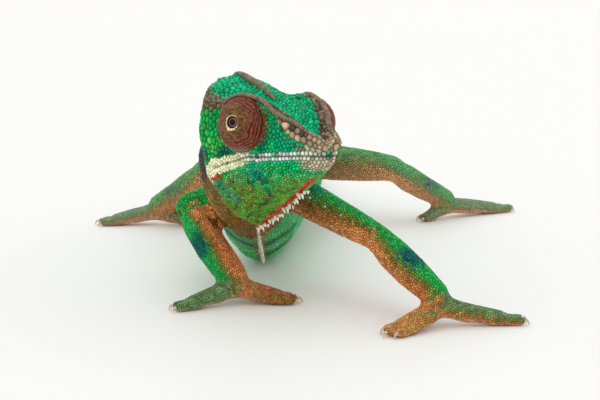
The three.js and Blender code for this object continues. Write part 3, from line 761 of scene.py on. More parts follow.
def paint_head(w):
    face = w.on("head", "jaw")
    over_mouth = w.u - height_on(MOUTH, w.f)
    w.wash(EMERALD, face)
    w.wash(JADE, face * soft(w.shift + w.fleck, -0.2, 1.2), 0.75)
    cheek = face * soft(w.reach, 6, 8.5) * soft(7 - w.u, 0, 2) * soft(over_mouth, 0.5, 2)
    w.wash(LEAF, cheek, 0.85)
    w.wash(LIME, cheek * soft(-w.f, 3, 9) * soft(w.shift * 0.6 + w.cloud, -0.4, 0.7), 0.45)
    w.wash(LEAF * 0.65, cheek * soft(w.f, 2, 6), 0.6)
    w.wash(TEAL, face * soft(w.cloud + 0.4 * w.shift, 0.25, 0.7) * soft(w.u, 0, 3), 0.45)
    for at, size in (
        ((-5, 11, -4.6), 1.6), ((-7, 11.5, -5.0), 1.4), ((-12.6, 12.3, -5.3), 1.8), ((6, 9, -2), 2),
    ):
        w.wash(DEEP_TEAL, face * w.blob(at, size), 0.75)

    throat = face * soft(-over_mouth, 1.2, 2.2)
    w.wash(LEAF * 0.8 + JADE * 0.2, throat)
    w.wash(JADE, throat * soft(w.shift + 0.8 * w.cloud, -0.2, 0.8) * soft(w.u, -12, -8), 0.8)
    w.wash(LIME, throat * soft(w.shift - 0.7 * w.cloud, -0.1, 0.8), 0.6)
    w.wash(TEAL, throat * w.blob((2.4, 8, -8), 2.8), 0.6)
    low = throat * soft(-w.u + 1.5 * w.cloud, 11, 14)
    w.wash(MOSS * 0.6 + LIME * 0.4, low, 0.8)
    w.wash(OLIVE, low * soft(w.shift, -0.3, 0.6), 0.7)
    w.wash(BROWN, throat * soft(-w.u + 1.5 * w.cloud, 8, 12) * soft(w.cloud + 0.6 * w.shift, -0.2, 0.7), 0.6)
    # Painted shade: thin dark lines in the creases of the throat.
    throat_crease_shade = soft(0.07 - np.abs(w.noise(330, 5)), 0, 0.05)
    w.wash(INK * 0.4, throat * throat_crease_shade * soft(-w.u, 8, 11) * soft(-w.f, -9, -4), 0.6)
    w.wash(LIME, throat * soft(w.f, 3, 10) * soft(-w.u, 8, 11) * soft(w.shift, 0, 0.8), 0.6)
    w.wash(DEEP_TEAL, throat * w.streak(THROAT_STREAK, 0.8, 0.6) * soft(w.shift, -0.9, 0.3), 0.75)
    w.wash(TEAL, throat * w.streak(CHEEK_END, 1.7, 0.6) * soft(w.shift, -0.8, 0.6), 0.6)

    chin = face * soft(w.f, 14.5, 17.5) * soft(-over_mouth, 0, 0.8) * soft(w.u, -8.2, -6.6)
    w.wash(PALE_HORN * 0.5 + PINK * 0.3 + BONE * 0.2, chin * soft(w.shift, -1.8, -0.2), 0.9)
    behind = soft(1.5 - w.f, -1.5, 3)
    lip = face * soft(1.6 + 0.9 * soft(-w.f, 5, 12) - np.abs(over_mouth), -0.1, 0.2) * soft(w.f, -14.6, -13.4)
    w.wash(CREAM, lip * behind)
    for name in ("lip_upper", "lip_lower"):
        w.wash(BONE, w.row(name) * (1 - behind) * soft(w.shift, -1.2, -0.1), 0.95)
        w.wash(PALE_HORN, w.row(name) * soft(w.f, 13, 19), 0.45)
    # Painted shade: a dark line along the slit of the mouth.
    w.wash(DARK_HORN, face * hump(over_mouth, 0.3) * soft(w.f, -13, -10), 0.9)
    w.wash(RED * 0.6 + RUST * 0.4, face * w.streak([(-11.5, 11, -11.3), (-8.8, 11, -9.9)], 0.7))
    w.wash(RUST, face * w.streak([(-14, 12, -6), (-14.2, 11.6, -9.5), (-12.6, 11, -12)], 0.8), 0.8)

    # A brown and olive ring round each turret, darkened as painted shade in the socket's furrow.
    socket = face * soft(7.5 + 0.3 * w.fleck - w.ring, 0, 0.3) * soft(w.u, -3, 0) * soft(7 - w.u, 0, 1.5)
    w.wash(RUST * 0.35 + OLIVE * 0.2, socket, 0.6)
    for name in LOWER_BAND_ROWS:
        w.wash(PALE_HORN, w.row(name))
        w.wash(HORN, w.row(name) * soft(w.shift, 0, 0.8), 0.7)
    for name, shade in (
        ("band_edge", HORN * 0.5 + DARK_HORN * 0.5), ("brow", HORN),
        ("back_rim", HORN), ("band_inner", DARK_HORN),
    ):
        w.wash(shade, w.row(name))
        w.wash(PALE_HORN, w.row(name) * soft(w.shift, 0.2, 1), 0.35)
    inner = np.interp(w.f, (1.5, 4.2, 7, 8.8, 10.6, 12.3, 13.8, 16), (7.0, 6.4, 5.3, 4.4, 3.6, 2.6, 2.0, 0.5))
    above_foot = w.u - height_on(BAND_FOOT, w.f)
    inner_face = face * soft(w.reach - inner, -0.1, 0.3) * soft(w.f, 0, 2) * soft(above_foot, 0.5, 1.0)
    inner_face *= soft(w.outward @ np.array(head_turn @ Vector((0, 0, 1))), 0.15, 0.4)
    w.wash(DARK_HORN, inner_face)
    w.wash(HORN, inner_face * soft(w.shift, -0.2, 0.8), 0.7)
    tip = face * soft(w.f, 17.0, 18.5) * soft(over_mouth, 1.2, 1.8)
    w.wash(PALE_HORN, tip)
    w.wash(RUST, tip * soft(w.shift, 0.4, 1.0), 0.3)
    under_band = face * soft(w.f, 14.5, 16.5) * soft(over_mouth, 0.9, 1.3) * soft(-above_foot, -0.6, 0)
    w.wash(PALE_HORN * 0.8 + PINK * 0.1, under_band, 0.8)
    # Painted shade: a thin dark line in the gap between the brow ridge and the forehead.
    ridge_gap_shade_line = [(9.3, 5.9, 6), (11.4, 4.9, 5), (13.1, 3.7, 4.1), (16, 2.5, 2.3)]
    w.wash(INK * 0.3, face * w.streak(ridge_gap_shade_line, 0.4), 0.7)
    lateral = face * soft(w.u, 5.0, 5.8) * soft(10.2 - w.u, 0, 1.2)
    lateral = lateral * soft(w.reach, 8.2, 9.2) * soft(-w.f, 6.2, 7.4)
    w.wash(HORN * 0.6 + DARK_HORN * 0.4, lateral, 0.9)
    w.wash(DARK_HORN, lateral * soft(w.shift, 0, 0.8), 0.6)
    # Painted shadow: a dark line under the roll of the horny band, along its foot.
    band_foot_shadow_line = [(10.4, 6.8, 2.1), (11.5, 5.9, 0.6), (13.5, 5.6, -1.2), (17, 4.6, -2.9)]
    w.wash(DARK_HORN, face * w.streak(band_foot_shadow_line, 0.55), 0.8)
    w.wash(RUST, face * w.streak([(11.3, 6, 0.2), (13.2, 5.9, -2)], 0.5), 0.9)
    # Painted shade: the nostril's pit is darkened.
    w.wash(INK * 0.5, face * w.blob((19.6, 3.3, -1.2), 0.6, 0.1))
    w.wash(JADE, w.row("big_teal"))
    keel = face * soft(1.0 - w.reach, 0, 0.25) * soft(-w.u, 8, 9)
    w.wash(RED, keel * soft(15.5 - w.f, 0, 1) * soft(w.f, -8, -6))


# %% The neck and body's washes
def on_flesh(place):
    """The place on the flesh nearest to a place in the body's millimetres."""
    return (flesh_tree.find_nearest(Vector(place) * MM + body_zero)[0] - body_zero) / MM


def paint_body(w):
    body = w.on("neck", "trunk", "tail")
    neck = w.on("neck")
    trunk = w.on("trunk")
    belly = soft(-w.outward[:, 2] + 0.2 * w.cloud, 0.1, 0.6)
    w.wash(LEAF * 0.6 + EMERALD * 0.4, body)
    w.wash(JADE, body * soft(w.shift + w.fleck, 0, 1.3), 0.5)
    bars = np.sin(2 * np.pi * (w.y + 3 * w.cloud) / 19)
    upper = soft(w.outward[:, 2], -0.3, 0.3)
    w.wash(DEEP_TEAL, body * soft(bars + 0.3 * w.shift, 0.25, 0.75) * upper, 0.75)
    w.wash(NAVY, body * soft(bars + 0.5 * w.fleck, 0.75, 1.1) * upper, 0.6)
    w.wash(RUST, body * soft(w.shift + 0.8 * w.fleck - 0.5 * bars, 0.75, 1.0) * upper, 0.8)
    middle_line = soft(3.2 - np.abs(w.z - 27 + 1.5 * w.cloud), 0, 1) * (np.abs(w.outward[:, 0]) > 0.5)
    w.wash(MINT, trunk * middle_line * soft(w.fleck + 0.4 * w.shift - 0.4 * bars, -0.3, 0.2), 0.75)
    under = body * belly
    w.wash(MINT, under, 0.7)
    wavy = np.sin(2 * np.pi * (w.z + 0.35 * w.y + 2.2 * w.cloud) / 7.5)
    chest = under * soft(w.y, -118, -106)
    w.wash(LEAF * 0.7 + MINT * 0.3, chest * soft(wavy, -0.3, 0.2), 0.8)
    w.wash(DEEP_TEAL * 0.6, chest * soft(wavy + 0.3 * w.shift, 0.75, 1.1), 0.5)
    from_middle = w.x - SHIFT.x
    breast = (neck + trunk) * soft(-w.outward[:, 1] - 0.5 * w.outward[:, 2], 0.1, 0.4) * soft(-w.y, 78, 82)
    # Dark bands rise from the stripe: one on both sides of it, a lower one on the left.
    for foot_of_band, reach in ((10, 1), (5.5, soft(from_middle, -0.5, 0.5))):
        band = hump(w.z - foot_of_band - 0.35 * np.abs(from_middle), 1.0)
        w.wash(DEEP_TEAL * 0.4, breast * reach * band * soft(12 - np.abs(from_middle), 0, 3), 0.85)
    tail_bars = np.sin(2 * np.pi * (w.y + 0.6 * w.x + 2 * w.cloud) / 15)
    w.wash(BROWN, w.on("tail_1", "tail_2", "tail_3") * soft(tail_bars + 0.4 * w.shift, 0.1, 0.6), 0.7)

    front = neck * soft(-w.y + 2.5 * w.cloud, 103, 108)
    w.wash(BROWN * 0.75, front)
    w.wash(OLIVE * 0.6, front * soft(w.cloud + 0.6 * w.shift, -0.3, 0.7), 0.6)
    w.wash(ORANGE, front * soft(w.cloud - 0.5 * w.shift, 0.1, 0.9) * soft(30 - w.z, 0, 6), 0.45)
    w.wash(LEAF, neck * soft(w.z, 34, 40), 0.9)
    w.wash(INK, neck * w.spot((-25, -119, 37), 5.5, 0.3), 0.85)
    w.wash(SKY, neck * w.spot((-26.5, -116, 41), 2.2, 0.3), 0.85)
    w.wash(RUST, (neck + trunk) * w.line_on_body(WHITE_STRIPE, 1.6), 0.55)
    w.wash(WHITE, w.row("white_line"))


# %% The legs' washes
def pale_spots():
    """Small pale spots down the left upper arm, then below the right elbow."""
    root, elbow, _ = (Vector(station) + SHIFT for station in LEGS["fore_left"])
    for number in range(8):
        sideways = Vector((-1.5, -3.5, -1.6 if number % 2 else 2))
        yield on_flesh(root.lerp(elbow, 0.2 + 0.08 * number) + sideways)
    elbow = Vector(LEGS["fore_right"][1]) + SHIFT
    for number in range(4):
        yield on_flesh(elbow + Vector((1 + 0.4 * number, -1 - 2 * number, 3.5 - 1.7 * number)))


def paint_legs(w):
    for leg, stations in LEGS.items():
        root, knee, ankle = (np.array(Vector(s) + SHIFT) for s in stations)
        here = w.on(leg)
        side = 1 if "left" in leg else -1
        on_upper = (w.places - root) @ (knee - root) / ((knee - root) @ (knee - root))
        on_lower = (w.places - knee) @ (ankle - knee) / ((ankle - knee) @ (ankle - knee))
        upper, lower, foot = (w.on(f"{leg}_{part}") for part in ("upper", "lower", "foot"))
        lean = 0.62 * side * w.outward[:, 0] + 0.8 * w.outward[:, 2]
        if leg == "fore_right":
            # The arm is green on the outer side of its bone's line.
            edge = np.interp(w.z, (ankle[2], knee[2]), (ankle[0], knee[0]))
            lean = upper + (1 - upper) * np.clip((edge - w.x) / 3 + 0.1, -1, 1)
        if leg == "fore_left":
            lean -= 0.9 * foot * soft(32 - w.x, 0, 3.5)
        mixed = lean + 0.3 * w.noise(45, 11) + 0.25 * w.cloud + 0.16 * w.shift
        w.wash(SAND, here)
        w.wash(BROWN, here * soft(mixed, -0.8, -0.25), 0.85)
        near_knee = hump(on_upper - 1, 0.35) * upper + hump(on_lower - 0.05, 0.35) * lower
        w.wash(ORANGE, near_knee * soft(-mixed, -0.3, 0.2), 0.75)
        near_wrist = hump(on_lower - 0.85, 0.3) * lower + foot * hump(on_lower - 1, 0.35)
        w.wash(ORANGE * 0.5 + RUST * 0.5, near_wrist * soft(-mixed, -0.3, 0.3), 0.8)
        w.wash(OLIVE, here * soft(mixed, -0.35, 0.1), 0.8)
        green = here * soft(mixed, 0.0, 0.6)
        w.wash(LEAF, green * (upper + lower), 0.95 if leg.startswith("fore") else 0.7)
        w.wash(EMERALD, green * (upper + lower) * soft(w.shift + w.cloud, 0, 0.8), 0.5)
        w.wash(MINT, green * soft(w.shift, 0.5, 1.0), 0.35)
        w.wash(SAGE * 0.7 + EMERALD * 0.2, green * foot, 0.75)
        patch_on_arm = soft(0.42 - on_upper, -0.06, 0.1) * upper
        patch_on_shin = soft(0.14 - np.abs(on_lower - 0.52), -0.06, 0.08) * lower
        patches = green * (patch_on_arm + patch_on_shin)
        w.wash(DEEP_TEAL, patches * soft(w.cloud + 0.3 * w.shift, -0.7, 0), 0.85)
        w.wash(NAVY, green * patch_on_shin * soft(w.shift + w.fleck, 0.3, 0.9), 0.6)
        w.wash(SAGE, foot * soft(w.shift, 0.1, 0.7), 0.6)
        w.wash(PINK, foot * soft(-w.outward[:, 2], 0.45, 0.8), 0.7)
    w.wash(BONE * 0.8, w.on("hind"), 0.12)
    elbow_left, elbow_right = (Vector(LEGS[leg][1]) + SHIFT for leg in ("fore_left", "fore_right"))
    pale_line = [on_flesh(elbow_left + Vector(step)) for step in ((-0.5, -1.5, 3), (-1.5, -3, -1))]
    w.wash(PINK, w.on("fore_left") * w.line_on_body(pale_line, 0.5), 0.9)
    left_hand = w.on("fore_left_foot")
    w.wash(ORANGE, left_hand * soft(-w.x, -28, -22) * soft(w.cloud - 0.5 * w.shift, -0.8, 0.3), 0.6)
    w.wash(PINK, left_hand * soft(-w.x, -22, -17) * soft(w.shift, -0.6, 0.6), 0.4)
    right_hand = w.on("fore_right_foot")
    w.wash(RUST, right_hand * soft(w.x, -17, -11) * soft(w.cloud - 0.6 * w.shift, -0.9, 0.1), 0.7)
    w.wash(OLIVE, right_hand * hump(w.x + 8, 7) * soft(w.cloud + 0.4 * w.shift, -0.3, 0.4), 0.55)
    inner_toes = left_hand * soft(34 - w.x, 0, 6)
    w.wash(OLIVE * 0.7 + LEAF * 0.3, inner_toes * soft(w.shift + 0.5 * w.cloud, 0.2, 0.9), 0.5)
    # Painted shade: a dark line in the crease of the right elbow.
    elbow_crease_shade = [on_flesh(elbow_right + Vector(step)) for step in ((-3, -2, -1), (1, -5, -2), (6, -7, -4))]
    w.wash(RUST * 0.35, w.on("fore_right") * w.line_on_body(elbow_crease_shade, 0.9), 0.8)
    for at in pale_spots():
        near = w.on("fore_left_upper", "fore_right_upper", "neck", "trunk")
        w.wash(SKY * 0.35 + WHITE * 0.65, near * w.spot(at, 0.62, 0.1), 0.9)


def markings(points, outward, solid, rows, shift):
    w = Washes(points, outward, solid, rows, shift)
    paint_body(w)
    paint_legs(w)
    paint_head(w)
    ripple = w.noise(950, 7) * w.on("head", "jaw", "neck", "fore")
    return w.colour * (1 + 0.55 * ripple)[:, None]


# %% Painting scales and skin
cell_shift = rng.uniform(-1, 1, len(centres))
cell_colour = markings(centres, facing, cell_solid, cell_row, cell_shift)
cell_colour *= (1 + 0.28 * rng.uniform(-1, 1, len(centres)))[:, None]


def set_colours(mesh, colours):
    layer = mesh.color_attributes.new("tone", "FLOAT_COLOR", "POINT")
    with_alpha = np.concatenate([np.clip(colours, 0, 1), np.ones((len(colours), 1))], 1)
    layer.data.foreach_set("color", with_alpha.astype(np.float32).ravel())


UNDER_RIMS = 0.1 * MM
skin_f, _, skin_u = head_coordinates(coordinates(skin_mesh))
deeper = 0.3 * MM * soft(skin_f, 6, 12) + 0.25 * MM * hump(skin_u - height_on(MOUTH, skin_f), 2.5)
deeper *= near_head
move_to(skin_mesh, coordinates(skin_mesh) - normals_of(skin_mesh) * (UNDER_RIMS + deeper)[:, None])
skin_points = coordinates(skin_mesh)
skin_solid = nearest_solid(skin_points)
skin_normals = normals_of(skin_mesh)
no_shift = np.zeros(len(skin_points))
skin_colour = markings(skin_points, skin_normals, skin_solid, rows_at(skin_points), no_shift)
set_colours(skin_mesh, skin_colour * 0.4)
elapsed("markings painted")

# %% [markdown]
# ## Raising the scales
# Each part of the coat is opened out flat on its own cells first, so that every scale keeps a small
# patch of that layout for its colours. Two insets then lift each cell into a dome. The horny rows of
# the lips, brow and snout rise higher than the skin's plain granules.

# %% Domes
RIM_SUNK = 0.07 * MM
SMALL_STEPS = ((0.13, 0.18, 1), (0.16, 0.09, 3))  # inset and rise in scale widths, and the step's number
LARGE_STEPS = ((0.1, 0.14, 1), (0.13, 0.11, 2), (0.14, 0.045, 3))
LARGE = 0.8 * MM
# Painted shade and highlight: each scale is darkened at its rim, as shade in the groove, and brightened on
# its crown, as a painted highlight.
RIM_SHADE_CROWN_HIGHLIGHT = (0.16, 0.78, 1.1, 1.32)  # how the colour runs from the rim to the crown
HORNY_ROWS = ("lip_upper", "brow", "band_edge", "band_middle", "band_low", "band_inner", "back_rim")
HORNY = [ROW_NAMES.index(name) for name in HORNY_ROWS]
PATCH = 0.003


cell_climb = np.where(np.isin(cell_row, HORNY), 1.6, 1.0)
cell_f, _, cell_u = head_coordinates(centres)
near_mouth = (np.abs(cell_u - height_on(MOUTH, cell_f)) < 2.2) & (cell_f < 0)
on_cream = near_mouth & np.isin(cell_solid, (ON["head"], ON["jaw"]))
cell_climb[on_cream] = 0.5
on_belly = np.isin(cell_solid, (ON["trunk"], ON["neck"])) & (facing[:, 2] < -0.1)
cell_climb[on_belly] = 0.55


# These floors keep the painted rim shade light on smooth, pale scales.
cell_rim = np.zeros(len(centres))  # smooth, pale scales have no dark rims
cell_rim[on_cream] = 0.5
cell_rim[cell_row == ROW_NAMES.index("white_line")] = 0.8

# The rims sink deepest along the mouth, where they make its dark line.
corner_f, _, corner_u = head_coordinates(coordinates(cell_mesh))
near_mouth = hump(corner_u - height_on(MOUTH, corner_f), 0.22) * soft(corner_f, -11, -8)
on_face = np.linalg.norm(coordinates(cell_mesh) - np.array(head_place), axis=1) < 0.028
rim_sunk = RIM_SUNK + 0.3 * MM * near_mouth * on_face


def flat_layout(piece):
    piece.data.uv_layers.new(name="OFBake")
    bpy.context.view_layer.objects.active = piece
    piece.select_set(True)
    bpy.ops.object.mode_set(mode="EDIT")
    bpy.ops.mesh.select_all(action="SELECT")
    bpy.ops.uv.smart_project(angle_limit=math.radians(66), island_margin=0.002)
    bpy.ops.object.mode_set(mode="OBJECT")
    piece.select_set(False)


def shrink_patches(mesh, corner_scale, count):
    """Each scale's part of the layout becomes a patch of its own about the scale's middle."""
    layer = mesh.uv_layers["OFBake"].data
    flat = np.empty(len(mesh.loops) * 2, dtype=np.float32)
    layer.foreach_get("uv", flat)
    uv = flat.reshape(-1, 2).astype(float)
    low = np.full((count, 2), 9.0)
    high = np.full((count, 2), -9.0)
    np.minimum.at(low, corner_scale, uv)
    np.maximum.at(high, corner_scale, uv)
    middle = (low + high) / 2
    span = np.maximum((high - low).max(1), 1e-6)
    uv = middle[corner_scale] + (uv - middle[corner_scale]) * (PATCH / span)[corner_scale, None]
    layer.foreach_set("uv", uv.astype(np.float32).ravel())


def corner_scales(mesh):
    number = np.empty(len(mesh.polygons), dtype=np.int32)
    mesh.attributes["scale"].data.foreach_get("value", number)
    return np.repeat(number, polygon_values(mesh, "loop_total", 1, np.int32))


def raised_coat(name, code):
    cells = bmesh.new()
    cells.from_mesh(cell_mesh)
    cells.normal_update()
    cells.verts.ensure_lookup_table()
    for corner, sunk in zip(cells.verts, rim_sunk.tolist()):
        corner.co -= corner.normal * sunk
    number_layer = cells.faces.layers.int.new("scale")
    for number, face in enumerate(cells.faces):
        face[number_layer] = number
        face.smooth = True
    bmesh.ops.delete(cells, geom=[f for f in cells.faces if coat_of_cell[f.index] != code], context="FACES")
    mesh = bpy.data.meshes.new(name)
    cells.to_mesh(mesh)
    cells.free()
    piece = link_mesh(name, mesh)
    flat_layout(piece)

    domes = bmesh.new()
    domes.from_mesh(mesh)
    number_layer = domes.faces.layers.int["scale"]
    rise_layer = domes.verts.layers.float.new("rise")
    bins = {}
    for face in domes.faces:
        number = face[number_layer]
        bins.setdefault((round(cell_size[number] / MM, 1) * MM, cell_climb[number]), []).append(face)
    for (width, taller), faces in bins.items():
        for inset, climb, step in LARGE_STEPS if width > LARGE else SMALL_STEPS:
            depth = climb * width * taller
            bmesh.ops.inset_individual(
                domes, faces=faces, thickness=inset * width, depth=depth, use_interpolate=True
            )
            for corner in {c for face in faces for c in face.verts}:
                corner[rise_layer] = step
    domes.to_mesh(mesh)
    domes.free()

    corner_scale = corner_scales(mesh)
    shrink_patches(mesh, corner_scale, len(centres))
    corner_vertex = np.empty(len(mesh.loops), dtype=np.int32)
    mesh.loops.foreach_get("vertex_index", corner_vertex)
    count = len(mesh.vertices)
    tone = np.stack(
        [
            np.bincount(corner_vertex, weights=cell_colour[corner_scale, k], minlength=count)
            for k in range(3)
        ],
        1,
    )
    tone /= np.maximum(np.bincount(corner_vertex, minlength=count), 1)[:, None]
    rise = np.empty(count, dtype=np.float32)
    mesh.attributes["rise"].data.foreach_get("value", rise)
    # The painted rim shade and crown highlight, step by step from the rim to the crown.
    shade = np.choose(np.rint(rise).astype(int), RIM_SHADE_CROWN_HIGHLIGHT)
    palest = np.bincount(corner_vertex, weights=cell_rim[corner_scale], minlength=count)
    shade = np.maximum(shade, palest / np.maximum(np.bincount(corner_vertex, minlength=count), 1))
    # Painted shade: the head and throat scales are darkened along the slit of the mouth.
    if name in ("head_scales", "throat_scales"):
        forward, _, up = head_coordinates(coordinates(mesh))
        shade *= 1 - 0.75 * hump(up - height_on(MOUTH, forward), 0.24) * soft(forward, -11, -8)
    set_colours(mesh, tone * shade[:, None])
    return piece


coats = {name: raised_coat(name, code) for code, name in enumerate(COATS)}
for name, piece in coats.items():
    print(name, sum(len(p.vertices) - 2 for p in piece.data.polygons), "triangles")
elapsed("scales raised")

# %% [markdown]
# ## The eye turrets
# A chameleon's lids are fused into a cone that turns with the eye. Its skin is fine and dry, stippled
# near the opening and thrown into ring folds further out, deepest in front and below. The lids end in
# a pale rim round a small opening, where the dark iris and pupil show.

# %% Turrets
BALL_RADIUS = 2.3
BALL_FORWARD = 0.12  # the cornea bulges a little through the lids
TURRET_RADIUS = 6.9
TURRET_HEIGHT = 7.4
LID_RADIUS = 1.36
TURRET_BROWN, TURRET_RED, TURRET_OLIVE = paint(126, 72, 38), paint(128, 60, 42), paint(86, 84, 30)
TURRET_DARK, TURRET_GREY, LID_PALE = paint(44, 22, 14), paint(140, 118, 112), paint(226, 204, 158)


def dome_point(angle):
    lift = 1 + (TURRET_HEIGHT / TURRET_RADIUS - 1) * math.sin(angle)
    return TURRET_RADIUS * math.cos(angle), TURRET_RADIUS * math.sin(angle) * lift


def turret_profile():
    lip = [
        (1.82, 7.14), (1.7, 7.24), (1.58, 7.24), (1.45, 7.16),
        (LID_RADIUS, 7.0), (LID_RADIUS, 6.75), (1.45, 6.35),
    ]
    dome = [dome_point(math.radians(a)) for a in np.linspace(0, 73, 90)]
    return [(4.8, -1.4), (5.6, -1.1), (6.3, -0.6)] + dome + lip


def turned(name, profile, sides, place):
    """A profile of (out, up) points in millimetres, spun about its own axis."""
    shape = bmesh.new()
    chain = [shape.verts.new((out * MM, 0, up * MM)) for out, up in profile]
    edges = [shape.edges.new(pair) for pair in zip(chain, chain[1:])]
    bmesh.ops.spin(
        shape, geom=chain + edges, cent=(0, 0, 0), axis=(0, 0, 1),
        angle=2 * math.pi, steps=sides, use_merge=True,
    )
    bmesh.ops.remove_doubles(shape, verts=shape.verts, dist=1e-7)
    bmesh.ops.recalc_face_normals(shape, faces=shape.faces)
    for face in shape.faces:
        face.smooth = True
    mesh = bpy.data.meshes.new(name)
    shape.to_mesh(mesh)
    shape.free()
    piece = link_mesh(name, mesh)
    return piece, place


FAR_BULGE = {"right": 0, "left": 0.9}  # the far turret is pushed out a little further


def eye_place(side):
    upright = gaze_axis(side, LOOK).to_track_quat("Z", "Y").to_matrix()
    turn = head_turn @ upright
    forward, left, upward = TURRET_AT[side]
    return Matrix.Translation(on_head(forward, left + FAR_BULGE[side], upward)) @ turn.to_4x4()


def folded(mesh, side):
    """Ring folds and stipples pressed into the plain dome, and its colours, with painted shade in the folds'
    valleys and painted light on their crests.
    """
    points = coordinates(mesh) / MM
    outward = normals_of(mesh)
    out = np.hypot(points[:, 0], points[:, 1])
    wander = np.array([noise.noise(Vector(p) * 0.35) for p in points])
    grain = np.array([noise.noise(Vector(p) * 2.6) for p in points])
    stipple = np.array([noise.noise(Vector(p) * 1.5 + Vector((9, 0, 0))) for p in points])
    down = (eye_place(side).to_3x3().inverted() @ Vector((0, 0, -1))).xy.normalized()
    below = (points[:, :2] @ np.array(down)) / np.maximum(out, 0.1)
    turret_skin = soft(points[:, 2], -0.6, 0.2) * soft(out, 2.0, 2.3)
    slope = np.degrees(np.arctan2(points[:, 2], out))
    phase = (slope + 8 * wander) / 7.2
    folds = np.abs(np.sin(np.pi * phase)) ** 0.7
    ringed = soft(60 - slope - 10 * wander, 0, 8) * turret_skin
    depth = -0.22 * (1 - folds) * ringed + (0.1 * grain + 0.08 * stipple) * turret_skin
    move_to(mesh, (points + outward * depth[:, None]) * MM)

    def wash(tone, colour, mask):
        mask = np.clip(mask, 0, 1)[:, None]
        return tone * (1 - mask) + colour * mask

    tone = np.tile(TURRET_BROWN, (len(points), 1))
    tone = wash(tone, TURRET_RED, ringed * 0.8)
    tone = wash(tone, TURRET_OLIVE, soft(stipple + 0.7 * grain, 0.0, 0.3) * (1 - ringed) * 0.75)
    tone = wash(tone, TURRET_DARK, soft(grain - stipple, 0.15, 0.4) * (1 - 0.7 * ringed) * 0.7)
    # Painted shade and highlight: the folds' crests are lightened and their valleys darkened, over the random
    # mottling.
    tone = tone * (1 + 0.7 * grain + 0.5 * stipple + 0.4 * wander + 0.5 * (folds - 0.7) * ringed)[:, None]
    tone = wash(tone, TURRET_DARK, soft(1 - folds, 0.15, 0.7) * ringed * 0.85)
    grey_side = soft(below, 0.85, 0.97) * hump(slope - 27, 9) * soft(folds, 0.2, 0.6)
    tone = wash(tone, TURRET_GREY, grey_side * 0.75)
    lid = 1.62 + 0.16 * stipple + 0.1 * grain + 0.45 * soft(below, 0.35, 0.95) * (0.8 + 0.8 * grain)
    on_lid = soft(lid - out, 0, 0.12) * soft(points[:, 2], 6.4, 6.7)
    tone = wash(tone, LID_PALE * (1 + 0.6 * grain)[:, None], on_lid)
    # Painted shade on the inner edge of the lids' opening.
    tone = wash(tone, TURRET_DARK * 0.7, soft(LID_RADIUS + 0.09 - out, 0, 0.07))
    set_colours(mesh, tone)


turrets = {}
for side in TURRET_AT:
    piece, _ = turned(f"turret_{side}", turret_profile(), 120, None)
    folded(piece.data, side)
    piece.data.transform(eye_place(side))
    turrets[side] = piece
    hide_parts(f"eye_turret_{side}")

# %% Eyeballs
PUPIL = 0.8
IRIS = 1.08


def ball_profile():
    outs = [0, 0.4, PUPIL - 0.03, PUPIL + 0.03, 0.95, IRIS, 1.25, 1.6, 1.95, 2.2, 2.3]
    seat = BALL_OUT + BALL_FORWARD
    front = [(out, seat + math.sqrt(BALL_RADIUS**2 - out**2)) for out in outs]
    back = [(out, seat - math.sqrt(BALL_RADIUS**2 - out**2)) for out in (2.15, 1.7, 1.0, 0)]
    return front + back


def ball_tone(mesh):
    out = np.hypot(*(coordinates(mesh) / MM).T[:2])
    ring = soft(IRIS - out, 0, 0.08)[:, None]
    tone = paint(40, 24, 18) * (1 - ring) + paint(138, 100, 92) * ring
    set_colours(mesh, np.where((out < PUPIL)[:, None], paint(8, 7, 8), tone))


balls = {}
for side in TURRET_AT:
    piece, _ = turned(f"eye_{side}", ball_profile(), 64, None)
    ball_tone(piece.data)
    piece.data.transform(eye_place(side))
    balls[side] = piece
    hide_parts(f"eyeball_{side}")
elapsed("eyes made")

# %% [markdown]
# ## Claws, crests and spines
# The claws are short and pale. They take the solids' own curve and are rounded by subdivision. White
# conical scales stand in a row under the throat, a lower row of green ones runs along the back, and
# ribbed ridges of fused plates run down the middle of the casque and over both brows. A white stripe
# of the same make goes down the chest.

# %% Claws
claws = []
for leg, (_, _, ankle) in LEGS.items():
    nodes = [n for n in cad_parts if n.startswith(f"{leg}_claw")]
    wrist = (Vector(ankle) + SHIFT) * MM + body_zero
    shape = bmesh.new()
    for node in nodes:
        one = bmesh.new()
        one.from_mesh(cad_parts[node].data)
        centre = middle(node)
        out = ((centre - wrist) * Vector((1, 1, 0))).normalized()
        stretch = Matrix.Rotation(math.atan2(out.y, out.x), 4, "Z")
        squash = Matrix.Diagonal((0.85, 1.55, 1.35, 1))
        place = Matrix.Translation(centre - out * 0.35 * MM) @ stretch @ squash @ stretch.inverted()
        bmesh.ops.transform(one, matrix=place @ Matrix.Translation(-centre), verts=one.verts)
        scrap = bpy.data.meshes.new("scrap")
        one.to_mesh(scrap)
        shape.from_mesh(scrap)
        one.free()
        bpy.data.meshes.remove(scrap)
    bmesh.ops.remove_doubles(shape, verts=shape.verts, dist=1e-6)
    bmesh.ops.recalc_face_normals(shape, faces=shape.faces)
    for face in shape.faces:
        face.smooth = True
    mesh = bpy.data.meshes.new(f"{leg}_claws")
    shape.to_mesh(mesh)
    shape.free()
    piece = link_mesh(f"{leg}_claws", mesh)
    rounding = piece.modifiers.new("rounding", "SUBSURF")
    rounding.levels = rounding.render_levels = 2
    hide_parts(*nodes)
    claws.append(piece)


# %% Spines
def tips_of(node, direction, sharpness):
    """The points of the solid's cones: corners that stand out from all their neighbours."""
    shape = bmesh.new()
    shape.from_mesh(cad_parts[node].data)
    bmesh.ops.remove_doubles(shape, verts=shape.verts, dist=1e-6)
    way = Vector(direction)
    tips = [
        v.co.copy() for v in shape.verts
        if all((v.co - e.other_vert(v).co).normalized().dot(way) > sharpness for e in v.link_edges)
    ]
    shape.free()
    return tips


